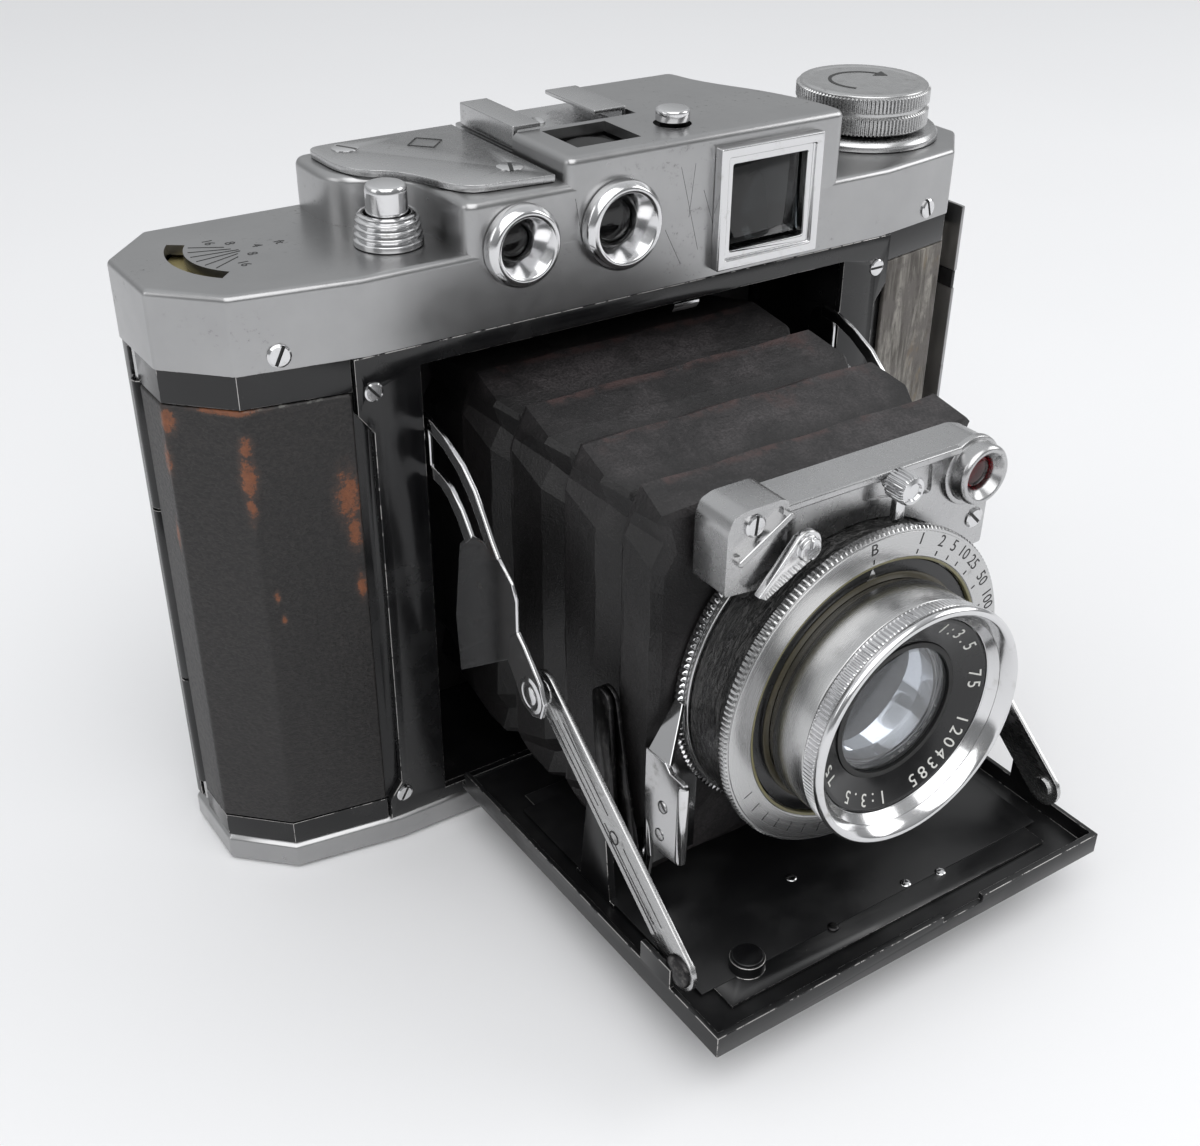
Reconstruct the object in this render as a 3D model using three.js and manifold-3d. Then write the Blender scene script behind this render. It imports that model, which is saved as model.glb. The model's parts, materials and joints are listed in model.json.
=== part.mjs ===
// Folding roll-film camera, opened for use. Millimetres.
// +X runs towards the winding knob, -Y is the way the lens looks, +Z is up.
// It is laid out from the body's front face (y = 0) and the last step moves the whole
// group so that the origin is under the middle of the bounding box, on the table.
import * as THREE from 'three';
import { mergeVertices } from 'three/addons/utils/BufferGeometryUtils.js';
import Module from 'manifold-3d';

const wasm = await Module();
wasm.setup();

// ---------------------------------------------------------------- driving sizes
const ROUND = 36;                 // sides of the large turned pieces
const SEAT = 0.1;                 // seam between two pieces that are fastened together
const CLEAR = 0.3;                // clearance beside a piece that moves

const HALF_WIDTH = 72.5;          // half the length of the body
const DEPTH = 32.8;               // front of the body to the back door
const FLAT_HALF = 47;             // half the flat middle of the front
const FACET = { x: 64.5, y: 2.9 };  // where the front facet meets the corner chamfer
const CORNER = { front: 10.9, rear: 24.4 };  // corner chamfers on the end face
const REAR_HALF = 64.6;           // half the flat back

const BASE_TOP = 5.2;             // bottom plate
const HOUSING_FLOOR = 85.5;       // underside of the top housing
const TIER_LOW = 96.5;
const TIER_MID = 103.7;
const TIER_HIGH = 107.3;
const HOUSING_WALL = 1.4;

const DOOR_BACK = 1.9;            // how far the red window's cover stands behind the door

const OPENING = { half: 39, low: 7.4, high: 82.5 };   // mouth of the bellows chamber
const PLATE = 1.2;                // thickness of the front frame plate
const GATE_HALF = 28;             // half the picture opening
const LENS_Z = 44.4;              // height of the optical axis

const SPOOL_X = 57.4;             // spool axes, left and right of the gate
const SPOOL_Y = 19.1;
const CHAMBER_RADIUS = 12.8;
const CHAMBER = { low: 8, high: 82.6 };

const HINGE = { y: -0.5, z: 10.5 };   // drop bed hinge line
const BED_HALF = 37.4;
const BED_END = 71;               // hinge line to the outside of the front lip
const BED_SHEET = 1;
const BED_FLOOR = 9.7;            // top of the bed sheet
const BED_WALL_TOP = 12.3;

const FOCUS_AXIS = { x: -53.5, y: 18.4 };
const RELEASE = { x: -37.5, y: 10.4 };
const BED_BUTTON = { x: 8.7, y: 7.6 };

const LINK_POST = { y: -36, z: 24.5 };     // lower link pivot, on the bed
const LINK_ELBOW = { y: -34.4, z: 42.6 };  // pivot between the two links
const LINK_LENS = { y: -40.3, z: 17.7 };   // pivot on the lens standard
const ARM_PIVOT = { y: 3, z: 71 };         // upper arm pivot, on the body
const ELBOW = { y: -27, z: 42 };           // where arm and strut meet
const STRUT_FOOT = { y: -61, z: 15.5 };    // strut pivot, on the bed

const STANDARD_REAR = -42;        // rear face of the lens standard plate

// ---------------------------------------------------------------- finishes
function finish(color, roughness, metalness) {
  return new THREE.MeshStandardMaterial({ color, roughness, metalness });
}
const SATIN = finish(0xb4b6b9, 0.38, 1);
const CHROME = finish(0xd6d8da, 0.15, 1);
const STEEL = finish(0x9a9c9f, 0.35, 1);
const BLACK = finish(0x0e0e10, 0.25, 0);
const DARK_METAL = finish(0x2a2a2c, 0.45, 0.6);
const LEATHER = finish(0x181415, 0.75, 0);
const GLUE = finish(0x6f6960, 0.85, 0);
const CLOTH = finish(0x221d1f, 0.8, 0);
const GLASS = finish(0x8fa0a8, 0.05, 0);
const DARK_GLASS = finish(0x1c2024, 0.05, 0);
const SCALE_DISC = finish(0xa99a62, 0.5, 0);

// ---------------------------------------------------------------- solid helpers
function signedVolume(position, index) {
  const a = new THREE.Vector3();
  const b = new THREE.Vector3();
  const c = new THREE.Vector3();
  let sum = 0;
  for (let i = 0; i < index.length; i += 3) {
    a.fromBufferAttribute(position, index[i]);
    b.fromBufferAttribute(position, index[i + 1]);
    c.fromBufferAttribute(position, index[i + 2]);
    sum += a.dot(b.cross(c));
  }
  return sum / 6;
}

// A closed three.js geometry as a manifold solid, always facing out.
function solid(geometry) {
  const bare = geometry.clone();
  bare.deleteAttribute('normal');
  bare.deleteAttribute('uv');
  const merged = mergeVertices(bare, 1e-4);
  const index = [];
  const source = merged.index.array;
  for (let i = 0; i < source.length; i += 3) {
    const [a, b, c] = [source[i], source[i + 1], source[i + 2]];
    if (a !== b && b !== c && c !== a) index.push(a, b, c);
  }
  if (signedVolume(merged.attributes.position, index) < 0) index.reverse();
  return new wasm.Manifold(new wasm.Mesh({
    numProp: 3,
    vertProperties: new Float32Array(merged.attributes.position.array),
    triVerts: new Uint32Array(index),
  }));
}

function join(first, ...rest) {
  return rest.reduce((sum, piece) => sum.add(piece), first);
}

function cut(first, ...rest) {
  return rest.reduce((left, piece) => left.subtract(piece), first);
}

function outline(points) {
  return new THREE.Shape(points.map(([a, b]) => new THREE.Vector2(a, b)));
}

// Extrusions of an outline: its two numbers are (x, y), (x, z) and (y, z) in turn.
function extrudeUp(shape, low, high, curveSegments = 12) {
  const depth = high - low;
  const geometry = new THREE.ExtrudeGeometry(shape, { depth, bevelEnabled: false, curveSegments });
  return solid(geometry.translate(0, 0, low));
}

function extrudeBack(shape, front, rear, curveSegments = 12) {
  const depth = rear - front;
  const geometry = new THREE.ExtrudeGeometry(shape, { depth, bevelEnabled: false, curveSegments });
  return solid(geometry.rotateX(Math.PI / 2).translate(0, rear, 0));
}

function extrudeAcross(shape, left, right, curveSegments = 12) {
  const depth = right - left;
  const geometry = new THREE.ExtrudeGeometry(shape, { depth, bevelEnabled: false, curveSegments });
  const turn = new THREE.Matrix4().makeBasis(
    new THREE.Vector3(0, 1, 0), new THREE.Vector3(0, 0, 1), new THREE.Vector3(1, 0, 0));
  return solid(geometry.applyMatrix4(turn).translate(left, 0, 0));
}

// An upward extrusion whose top edge is chamfered.
function chamferedUp(shape, low, high, chamfer, curveSegments = 12) {
  const geometry = new THREE.ExtrudeGeometry(shape, {
    depth: high - low,
    bevelEnabled: true,
    bevelThickness: chamfer,
    bevelSize: chamfer,
    bevelOffset: -chamfer,
    bevelSegments: 1,
    curveSegments,
  });
  const tall = solid(geometry.translate(0, 0, low - chamfer));
  return cut(tall, block(-200, 200, -200, 200, low - 3 * chamfer, low));
}

function block(x0, x1, y0, y1, z0, z1) {
  const box = new THREE.BoxGeometry(x1 - x0, y1 - y0, z1 - z0);
  return solid(box.translate((x0 + x1) / 2, (y0 + y1) / 2, (z0 + z1) / 2));
}

// The stretch low..high on the right side, or its mirror image on the left.
function mirrorX(side, low, high) {
  return side > 0 ? [low, high] : [-high, -low];
}

// Turned pieces: the profile is a list of [radius, height along the axis].
function turned(profile, segments) {
  return new THREE.LatheGeometry(profile.map(([r, h]) => new THREE.Vector2(r, h)), segments);
}

function turnedUp(profile, x, y, segments = 32) {
  return solid(turned(profile, segments).rotateX(Math.PI / 2).translate(x, y, 0));
}

function turnedBack(profile, x, z, segments = 32) {
  return solid(turned(profile, segments).translate(x, 0, z));
}

function turnedAcross(profile, y, z, segments = 12) {
  return solid(turned(profile, segments).rotateZ(-Math.PI / 2).translate(0, y, z));
}

const disc = (radius, low, high) => [[0, low], [radius, low], [radius, high], [0, high]];
const ring = (inner, outer, low, high) => [
  [inner, low], [outer, low], [outer, high], [inner, high], [inner, low],
];

const piece = new THREE.Group();

function add(name, body, material, holder = piece) {
  const mesh = body.getMesh();
  const geometry = new THREE.BufferGeometry();
  geometry.setAttribute('position', new THREE.BufferAttribute(mesh.vertProperties, 3));
  geometry.setIndex(new THREE.BufferAttribute(mesh.triVerts, 1));
  const node = new THREE.Mesh(geometry, material);
  node.name = name;
  holder.add(node);
}

// ---------------------------------------------------------------- body outline
// The eight-sided plan of the body, drawn `inset` inside its outer faces.
function plan(inset = 0, rear = DEPTH) {
  const facetRun = inset * 0.08;
  const chamferRun = inset * 0.42;
  const half = [
    [FLAT_HALF - facetRun, inset],
    [FACET.x - chamferRun, FACET.y + inset],
    [HALF_WIDTH - inset, CORNER.front + chamferRun],
    [HALF_WIDTH - inset, CORNER.rear - chamferRun],
    [REAR_HALF - chamferRun, rear - inset],
  ];
  const mirrored = half.map(([x, y]) => [-x, y]).reverse();
  return outline([...half, ...mirrored]);
}

// ---------------------------------------------------------------- top housing
const HIGH_LEFT = -14.6;          // step up from the middle tier to the high tier
const SHOE_FLOOR = 104.6;
const MIDDLE_WINDOW = { x: -22.7, z: 96.8, hole: 4.4, radius: 5.9 };
const WAIST_WINDOW = { x: -5.9, z: 96.8, hole: 5.2, radius: 6.6 };
const FINDER = { left: 11.2, right: 31, low: 86.6, high: 105.2, rim: 1.5 };
const TOP_WINDOW = { left: -10.4, right: 0.6, front: 4.1, rear: 13.6 };

function rightStep(shape) {
  shape.lineTo(36.4, 0);
  shape.lineTo(36.4, 4);
  shape.quadraticCurveTo(35, 13, 31, 20);
  shape.quadraticCurveTo(27, 27, 26.5, DEPTH);
}

function middleTierPlan() {
  const shape = new THREE.Shape();
  shape.moveTo(-31, 0);
  rightStep(shape);
  shape.lineTo(-39, DEPTH);
  shape.quadraticCurveTo(-41.5, DEPTH, -41.5, 30);
  shape.lineTo(-41.5, 25);
  shape.quadraticCurveTo(-41.3, 19.5, -37, 18.2);
  shape.quadraticCurveTo(-31, 16.6, -31, 10);
  shape.closePath();
  return shape;
}

function highTierPlan() {
  const shape = new THREE.Shape();
  shape.moveTo(HIGH_LEFT, 0);
  rightStep(shape);
  shape.lineTo(HIGH_LEFT, DEPTH);
  shape.closePath();
  return shape;
}

function focusWindowPlan() {
  const [start, end] = [2.54, 3.94];
  const shape = new THREE.Shape();
  shape.absarc(FOCUS_AXIS.x, FOCUS_AXIS.y, 12.4, start, end, false);
  shape.absarc(FOCUS_AXIS.x, FOCUS_AXIS.y, 9.9, end, start, true);
  shape.closePath();
  return shape;
}

function topHousing() {
  const chamfer = 0.8;
  const skin = join(
    chamferedUp(plan(), HOUSING_FLOOR, TIER_LOW, chamfer),
    chamferedUp(middleTierPlan(), HOUSING_FLOOR, TIER_MID, chamfer, 12),
    chamferedUp(highTierPlan(), HOUSING_FLOOR, TIER_HIGH, chamfer, 12),
  );
  const below = HOUSING_FLOOR - 1;
  return cut(
    skin,
    extrudeUp(plan(HOUSING_WALL), below, TIER_LOW - HOUSING_WALL),
    block(-29.5, 26.5, HOUSING_WALL, DEPTH - HOUSING_WALL, below, TIER_MID - HOUSING_WALL),
    block(HIGH_LEFT + 1.4, 26.5, HOUSING_WALL, 14.4, below, TIER_HIGH - HOUSING_WALL),
    block(26, 34.6, HOUSING_WALL, 9, below, TIER_HIGH - HOUSING_WALL),
    block(HIGH_LEFT - 1, 7.2, 14.9, DEPTH + 1, SHOE_FLOOR, TIER_HIGH + 1),
    extrudeUp(focusWindowPlan(), TIER_LOW - 3, TIER_LOW + 1, 10),
    block(-65, -42, DEPTH - 4, DEPTH + 1, 87.2, 92.8),
    turnedBack(disc(MIDDLE_WINDOW.hole, -1, 3), MIDDLE_WINDOW.x, MIDDLE_WINDOW.z),
    turnedBack(disc(WAIST_WINDOW.hole, -1, 3), WAIST_WINDOW.x, WAIST_WINDOW.z),
    block(FINDER.left + 2, FINDER.right - 2, -1, 3, FINDER.low + 2, FINDER.high - 2),
    block(TOP_WINDOW.left, TOP_WINDOW.right, TOP_WINDOW.front, TOP_WINDOW.rear, 104, TIER_HIGH + 1),
    turnedBack(disc(3.6, DEPTH - 3, DEPTH + 1), EYEPIECE.x, EYEPIECE.z, 24),
    turnedUp(disc(2.9, 90, TIER_HIGH + 1), BED_BUTTON.x, BED_BUTTON.y, 20),
    turnedUp(disc(3.9, 90, TIER_LOW + 1), RELEASE.x, RELEASE.y, 24),
    turnedUp(disc(3.4, 90, TIER_LOW + 1), SPOOL_X, SPOOL_Y, 24),
    ...HOUSING_SCREWS.map(screwHole),
    ...STEP_SCREWS.map(screwHole),
    screwHole(SHOE_SCREW),
  );
}

const EYEPIECE = { x: 20.5, z: 96 };

// ---------------------------------------------------------------- screws
// Threaded holes: the place of each screw's head and the way the head looks.
const HOUSING_SCREWS = [
  { x: -58.6, y: 1.93, z: 87.6, facing: 'left_facet' },
  { x: 58.6, y: 1.93, z: 87.6, facing: 'right_facet' },
];
const PLATE_SCREWS = [-1, 1].flatMap((side) => [
  { x: side * 46.4, y: 0, z: 80.2, facing: 'front' },
  { x: side * 46.4, y: 0, z: 9.6, facing: 'front' },
]);
const STEP_TOP = 104.8;
const STEP_SCREWS = [
  { x: -34.8, y: 28.2, z: STEP_TOP, facing: 'up' },
  { x: -18.9, y: 8.4, z: STEP_TOP, facing: 'up' },
];
const SHOE_SCREW = { x: -5.4, y: 24, z: 105.5, facing: 'up' };

function aim({ facing }) {
  const facet = Math.atan2(FACET.y, FACET.x - FLAT_HALF);
  const turns = {
    up: new THREE.Matrix4(),
    front: new THREE.Matrix4().makeRotationX(Math.PI / 2),
    left_facet: new THREE.Matrix4().makeRotationZ(-facet)
      .multiply(new THREE.Matrix4().makeRotationX(Math.PI / 2)),
    right_facet: new THREE.Matrix4().makeRotationZ(facet)
      .multiply(new THREE.Matrix4().makeRotationX(Math.PI / 2)),
  };
  return turns[facing];
}

function screwHole(screw) {
  const geometry = turned(disc(1.1, -1.9, 1), 10).rotateX(Math.PI / 2);
  return solid(geometry.applyMatrix4(aim(screw)).translate(screw.x, screw.y, screw.z));
}

add('top_housing', topHousing(), SATIN);

function stepPlate() {
  const shape = new THREE.Shape();
  shape.moveTo(-15.4, 2);
  shape.lineTo(-15.4, 31.4);
  shape.lineTo(-37, 31.4);
  shape.quadraticCurveTo(-39.6, 31.4, -39.6, 28.8);
  shape.lineTo(-39.5, 24);
  shape.quadraticCurveTo(-39.2, 18.2, -35, 15.8);
  shape.bezierCurveTo(-30, 12.6, -31.5, 3.2, -25.8, 3);
  shape.closePath();
  const plate = extrudeUp(shape, TIER_MID + SEAT, STEP_TOP, 8);
  return cut(plate, ...STEP_SCREWS.map(screwHole));
}
add('step_cover_plate', stepPlate(), SATIN);

function accessoryShoe() {
  const floor = SHOE_FLOOR + SEAT;
  const section = outline([
    [-14.2, floor], [6.8, floor], [6.8, 108], [1, 108], [1, 107.3], [6, 107.3], [6, 105.5],
    [-13.4, 105.5], [-13.4, 107.4], [-9.4, 107.4], [-9.4, 108.1], [-14.2, 108.1],
  ]);
  const rails = cut(extrudeBack(section, 15.4, 31), block(0, 8, 14, 17, 105.5, 109));
  return cut(rails, screwHole(SHOE_SCREW));
}
add('accessory_shoe', accessoryShoe(), SATIN);

// ---------------------------------------------------------------- finder pieces
function windowRing({ x, z, hole, radius }) {
  return turnedBack([
    [hole - 0.2, 2.6], [hole - 0.2, -SEAT], [radius, -SEAT], [radius, -1.6], [radius - 0.8, -2.6],
    [radius - 1.5, -2.6], [hole - 1.9, 0.6], [hole - 1.9, 2.6], [hole - 0.2, 2.6],
  ], x, z, 24);
}
add('rangefinder_window_ring', windowRing(MIDDLE_WINDOW), CHROME);
add('waist_finder_ring', windowRing(WAIST_WINDOW), CHROME);

function finderFrame() {
  const { left, right, low, high, rim } = FINDER;
  const plate = block(left, right, -1.7, -SEAT, low, high);
  const lip = block(left + 2.2, right - 2.2, -1, 1.6, low + 2.2, high - 2.2);
  const hole = block(left + rim + 1.2, right - rim - 1.2, -3, 3, low + rim + 1.2, high - rim - 1.2);
  const face = block(left + rim, right - rim, -3, -1.1, low + rim, high - rim);
  return cut(join(plate, lip), hole, face);
}
add('viewfinder_frame', finderFrame(), CHROME);
add('viewfinder_glass', block(
  FINDER.left + 3, FINDER.right - 3, 2, 3, FINDER.low + 3, FINDER.high - 3), DARK_GLASS);

function waistWindow() {
  const pane = block(
    TOP_WINDOW.left + 0.2, TOP_WINDOW.right - 0.2,
    TOP_WINDOW.front + 0.2, TOP_WINDOW.rear - 0.2, 104.2, 105.3);
  const lens = new THREE.SphereGeometry(4.4, 12, 6);
  lens.scale(1, 1, 0.3).translate(
    (TOP_WINDOW.left + TOP_WINDOW.right) / 2, (TOP_WINDOW.front + TOP_WINDOW.rear) / 2, 105);
  return join(pane, solid(lens));
}
add('waist_finder_top_lens', waistWindow(), GLASS);

function waistMirror() {
  const section = outline([[7.4, 91], [13.6, 97.2], [13.6, 98.3], [7.4, 92.1]]);
  return extrudeAcross(section, -11, -0.9);
}
add('waist_finder_mirror', waistMirror(), CHROME);

add('rangefinder_prism', block(12.8, 25.6, 12, 20, 88, 102), GLASS);

function eyepiece() {
  return turnedBack([
    [3.3, DEPTH - 2.4], [3.3, DEPTH + SEAT], [5.4, DEPTH + SEAT], [5.4, DEPTH + 1.1], [4.8, DEPTH + 1.5],
    [3.1, DEPTH + 1.5], [2.2, DEPTH + 0.2], [2.2, DEPTH - 2.4], [3.3, DEPTH - 2.4],
  ], EYEPIECE.x, EYEPIECE.z, 28);
}
add('eyepiece_ring', eyepiece(), CHROME);

// ---------------------------------------------------------------- buttons on the top
function releaseCollar() {
  const profile = [[3.3, 94.2]];
  profile.push([3.7, 94.2], [3.7, TIER_LOW + SEAT], [4.8, TIER_LOW + SEAT]);
  for (let groove = 0; groove < 4; groove += 1) {
    const z = TIER_LOW + 0.7 + groove * 0.9;
    profile.push([4.8 - groove * 0.12, z], [4.35 - groove * 0.12, z + 0.35]);
  }
  profile.push([4.3, 100.7], [3.8, 101], [3.3, 101], [3.3, 94.2]);
  return turnedUp(profile, RELEASE.x, RELEASE.y, 20);
}
add('release_collar', releaseCollar(), CHROME);
add('shutter_release_button', turnedUp(
  [[0, 90], [1.6, 90], [1.6, 95.5], [2.95, 95.5], [2.95, 104.2], [2.5, 104.9], [0, 105.1]],
  RELEASE.x, RELEASE.y, 20), CHROME);

// The bed catch hangs from the button's stem and hooks over the lip of the closed bed.
function bedRelease() {
  const { x, y } = BED_BUTTON;
  const cap = turnedUp(
    [[0, 106], [1.9, 106], [1.9, 107.8], [2.6, 107.8], [2.6, 109.3], [2.3, 109.6], [0, 109.6]], x, y, 28);
  const stem = turnedUp(disc(1.1, 86, 106.5), x, y, 16);
  const post = block(x - 2.4, x + 2.4, y - 1.4, y + 1.4, 80.4, 87.8);
  const tongue = block(x - 2.4, x + 2.4, 2.6, y + 1, 80.4, 81.6);
  const hook = outline([[2.9, 81.2], [2.2, 81.2], [2.2, 80.6], [2.9, 79.6]]);
  const nose = extrudeAcross(hook, x - 2.4, x + 2.4);
  return join(cap, stem, post, tongue, nose);
}
add('bed_release_button', bedRelease(), CHROME);

// ---------------------------------------------------------------- focusing
add('focus_wheel', join(
  turnedUp(disc(15.6, 88.2, 91.8), FOCUS_AXIS.x, FOCUS_AXIS.y, 48),
  turnedUp(disc(2.4, 86, 93), FOCUS_AXIS.x, FOCUS_AXIS.y, 12),
), CHROME);
add('focus_scale_disc', turnedUp(disc(12.7, 93.1, 94.2), FOCUS_AXIS.x, FOCUS_AXIS.y, 36), SCALE_DISC);

// ---------------------------------------------------------------- winding
const KNOB_RADIUS = 11.4;
const KNOB_SEAT = TIER_LOW + SEAT;
add('knob_base_ring', turnedUp(
  [[3.4, KNOB_SEAT], [13.4, KNOB_SEAT], [13.4, 97.4], [12.8, 98.1], [3.4, 98.1], [3.4, KNOB_SEAT]],
  SPOOL_X, SPOOL_Y, 36), SATIN);
const knobProfile = [
  [0, 98.6], [KNOB_RADIUS, 98.6], [KNOB_RADIUS, 101.5], [KNOB_RADIUS - 0.5, 101.7],
  [KNOB_RADIUS - 0.5, 102.1], [KNOB_RADIUS, 102.3], [KNOB_RADIUS, 104.8],
  [KNOB_RADIUS - 0.6, 105.3], [0, 105.3],
];
add('winding_knob', join(
  turnedUp(knobProfile, SPOOL_X, SPOOL_Y, 36),
  turnedUp(disc(2.8, 77, 99), SPOOL_X, SPOOL_Y, 12),
  block(SPOOL_X - 2.4, SPOOL_X + 2.4, SPOOL_Y - 0.7, SPOOL_Y + 0.7, 74.6, 77.5),
), STEEL);

function spool(x) {
  const profile = [
    [0, 10.6], [12, 10.6], [12, 11.6], [5.6, 11.6], [5.6, 73], [12, 73], [12, 74], [0, 74],
  ];
  return cut(
    turnedUp(profile, x, SPOOL_Y, 24),
    block(x - 2.9, x + 2.9, SPOOL_Y - 1.1, SPOOL_Y + 1.1, 70, 75),
    block(x - 2.9, x + 2.9, SPOOL_Y - 1.1, SPOOL_Y + 1.1, 10, 14),
  );
}
add('takeup_spool', spool(SPOOL_X), BLACK);
add('supply_spool', spool(-SPOOL_X), BLACK);
function spoolPin(x) {
  return join(
    turnedUp(disc(2.4, 7, 9.9), x, SPOOL_Y, 16),
    block(x - 2.4, x + 2.4, SPOOL_Y - 0.7, SPOOL_Y + 0.7, 9.5, 13),
    turnedUp(disc(4.2, 2, 7.2), x, SPOOL_Y, 20),
  );
}
add('supply_spool_pin', spoolPin(-SPOOL_X), STEEL);

// ---------------------------------------------------------------- bottom plate
function bottomPlate() {
  const tray = solid(new THREE.ExtrudeGeometry(plan(), {
    depth: BASE_TOP - SEAT - 1.6, bevelEnabled: true, bevelThickness: 0.8, bevelSize: 0.8,
    bevelOffset: -0.8, bevelSegments: 1,
  }).translate(0, 0, 0.8));
  return cut(
    tray,
    extrudeUp(plan(2.2), 1.4, BASE_TOP + 1),
    turnedUp(disc(4.9, -1, 2), 0, 16, 24),
  );
}
add('bottom_plate', bottomPlate(), SATIN);
add('tripod_bush', turnedUp([
  [3.2, 0.3], [4.6, 0.3], [4.6, 1.6], [7.5, 1.6], [7.5, 3], [5.4, 3], [5.4, 5], [3.2, 5], [3.2, 0.3],
], 0, 16, 28), CHROME);

// ---------------------------------------------------------------- body
const SHELL_INSET = 1.1;          // the leather lies on the shell, flush with the frame plate
const DOOR_FRONT = 22.2;          // front edge of the back door where it wraps the ends
const LEATHER_END = 19;           // the coverings stop short of the door hinge

const DOOR_HINGE = { x: -71.5, y: 20.9 };
const DOOR_KNUCKLES = [[10, 30], [60.4, 80.4]];
const BODY_KNUCKLE = [30.4, 60];

function knuckle([low, high]) {
  return turnedUp(ring(0.8, 1.35, low, high), DOOR_HINGE.x, DOOR_HINGE.y, 16);
}


function bodyShell() {
  const low = BASE_TOP + SEAT;
  const high = HOUSING_FLOOR - SEAT;
  const outer = extrudeUp(plan(SHELL_INSET), low, high);
  const strips = join(
    extrudeUp(plan(0.25), low, 9.2),
    extrudeUp(plan(0.25), 80.6, high),
  );
  const doorSpace = join(
    block(-80, 80, 31.2, 40, low - 1, high + 1),
    block(-80, -69.6, 19.3, 40, low - 1, high + 1),
    block(69.6, 80, DOOR_FRONT - CLEAR, 40, low - 1, high + 1),
    ...[-1, 1].map((side) => extrudeUp(outline([
      [side * 69.8, 24], [side * 80, 24], [side * 80, 40], [side * 61, 40], [side * 61, 31.4],
      [side * 62.5, 31.4],
    ]), low - 1, high + 1)),
  );
  const chamber = (x) => join(
    turnedUp(disc(CHAMBER_RADIUS, CHAMBER.low, CHAMBER.high), x, SPOOL_Y, 24),
    block(x - CHAMBER_RADIUS, x + CHAMBER_RADIUS, SPOOL_Y, 40, CHAMBER.low, CHAMBER.high),
  );
  const frameSeat = block(-FLAT_HALF - 2.2, FLAT_HALF + 2.2, -2, PLATE + SEAT, low - 1, high + 1);
  const bellowsRoom = block(-39.4, 39.4, -2, 40, OPENING.low, 84);
  const filmTrack = block(-60, 60, 28.4, 40, 12, 77);
  const above = (x, y, r) => turnedUp(disc(r, 80, 90), x, y, 20);
  const beneath = (x) => turnedUp(disc(4.6, 4, 12), x, SPOOL_Y, 20);
  const shell = cut(
    join(outer, strips), frameSeat, doorSpace, chamber(SPOOL_X), chamber(-SPOOL_X), bellowsRoom,
    filmTrack, above(SPOOL_X, SPOOL_Y, 3.2), beneath(SPOOL_X), beneath(-SPOOL_X),
    block(BED_BUTTON.x - 2.8, BED_BUTTON.x + 2.8, BED_BUTTON.y - 1.8, BED_BUTTON.y + 1.8, 80, 90),
    ...PLATE_SCREWS.map((screw) => screwHole({ ...screw, y: 1.4 })),
  );
  const leaf = block(-71.3, -70.4, 18.6, 20.3, ...BODY_KNUCKLE);
  return join(shell, leaf, knuckle(BODY_KNUCKLE));
}
add('body_shell', bodyShell(), BLACK);

function framePlate() {
  const low = BASE_TOP + SEAT;
  const high = HOUSING_FLOOR - SEAT;
  const edge = FLAT_HALF + 0.3;
  const shape = outline([
    [-edge - 1.6, low], [edge + 1.6, low], [edge + 1.6, 9], [edge - 0.6, 12], [edge - 0.6, 74],
    [edge + 1.6, 77],
    [edge + 1.6, high], [-edge - 1.6, high], [-edge - 1.6, 77], [-edge + 0.6, 74], [-edge + 0.6, 12],
    [-edge - 1.6, 9],
  ]);
  const plate = extrudeBack(shape, 0, PLATE);
  const mouth = block(-OPENING.half, OPENING.half, -1, 3, OPENING.low, OPENING.high);
  const wedge = (side) => extrudeUp(outline([
    [side * (FLAT_HALF + 0.1), -1], [side * 60, -1], [side * 60, 2.15],
  ]), low - 1, high + 1);
  return cut(plate, mouth, wedge(-1), wedge(1), ...PLATE_SCREWS.map(screwHole));
}
add('front_frame_plate', framePlate(), BLACK);

// A covering that wraps from beside the frame plate round to the back door.
function covering(side) {
  const inner = SHELL_INSET - SEAT;
  const skin = cut(extrudeUp(plan(0.1), 9.4, 80.4), extrudeUp(plan(inner), 9, 81));
  const keep = side > 0
    ? block(FLAT_HALF + 2.3, 80, -2, LEATHER_END, 9, 81)
    : block(-80, -FLAT_HALF - 2.3, -2, LEATHER_END, 9, 81);
  return skin.intersect(keep);
}
add('leather_left', covering(-1), LEATHER);
add('leather_right', covering(1), GLUE);

// ---------------------------------------------------------------- back door
function backDoor() {
  const low = BASE_TOP + CLEAR;
  const high = HOUSING_FLOOR - CLEAR;
  const skin = cut(extrudeUp(plan(0.3), low, high), extrudeUp(plan(1.4), low - 1, high + 1));
  const keep = block(-80, 80, DOOR_FRONT + 0.2, 40, 0, 100);
  const redHole = turnedBack(disc(3.4, 25, 40), -14, 30, 24);
  const latchSlot = block(70, 75, 23.5, 25.5, 42, 51);
  const leaf = ([z0, z1]) => block(-72.2, -71.1, DOOR_HINGE.y + 0.9, DOOR_FRONT + 0.6, z0, z1);
  return join(
    cut(skin.intersect(keep), redHole, latchSlot),
    ...DOOR_KNUCKLES.map(knuckle),
    ...DOOR_KNUCKLES.map(leaf),
  );
}
add('back_door', backDoor(), BLACK);
add('window_cover', join(
  turnedBack(disc(5.2, DEPTH + 0.7, DEPTH + 1.4), -14, 30, 28),
  block(-15.6, -12.4, DEPTH + 0.7, DEPTH + 1.4, 33, 41),
  turnedBack(disc(2, DEPTH + 0.7, DEPTH + DOOR_BACK), -14, 41, 20),
), CHROME);
add('door_hinge_pin', turnedUp(disc(0.6, 6, 85), DOOR_HINGE.x, DOOR_HINGE.y, 12), STEEL);
add('door_latch', join(
  block(70.6, 73.1, 23.7, 25.3, 42.4, 46.6),
  block(72.3, 73.1, 22.5, 26.5, 40, 49),
), CHROME);
add('pressure_plate', block(-34, 34, 30, 30.8, 14, 75), DARK_METAL);

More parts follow.
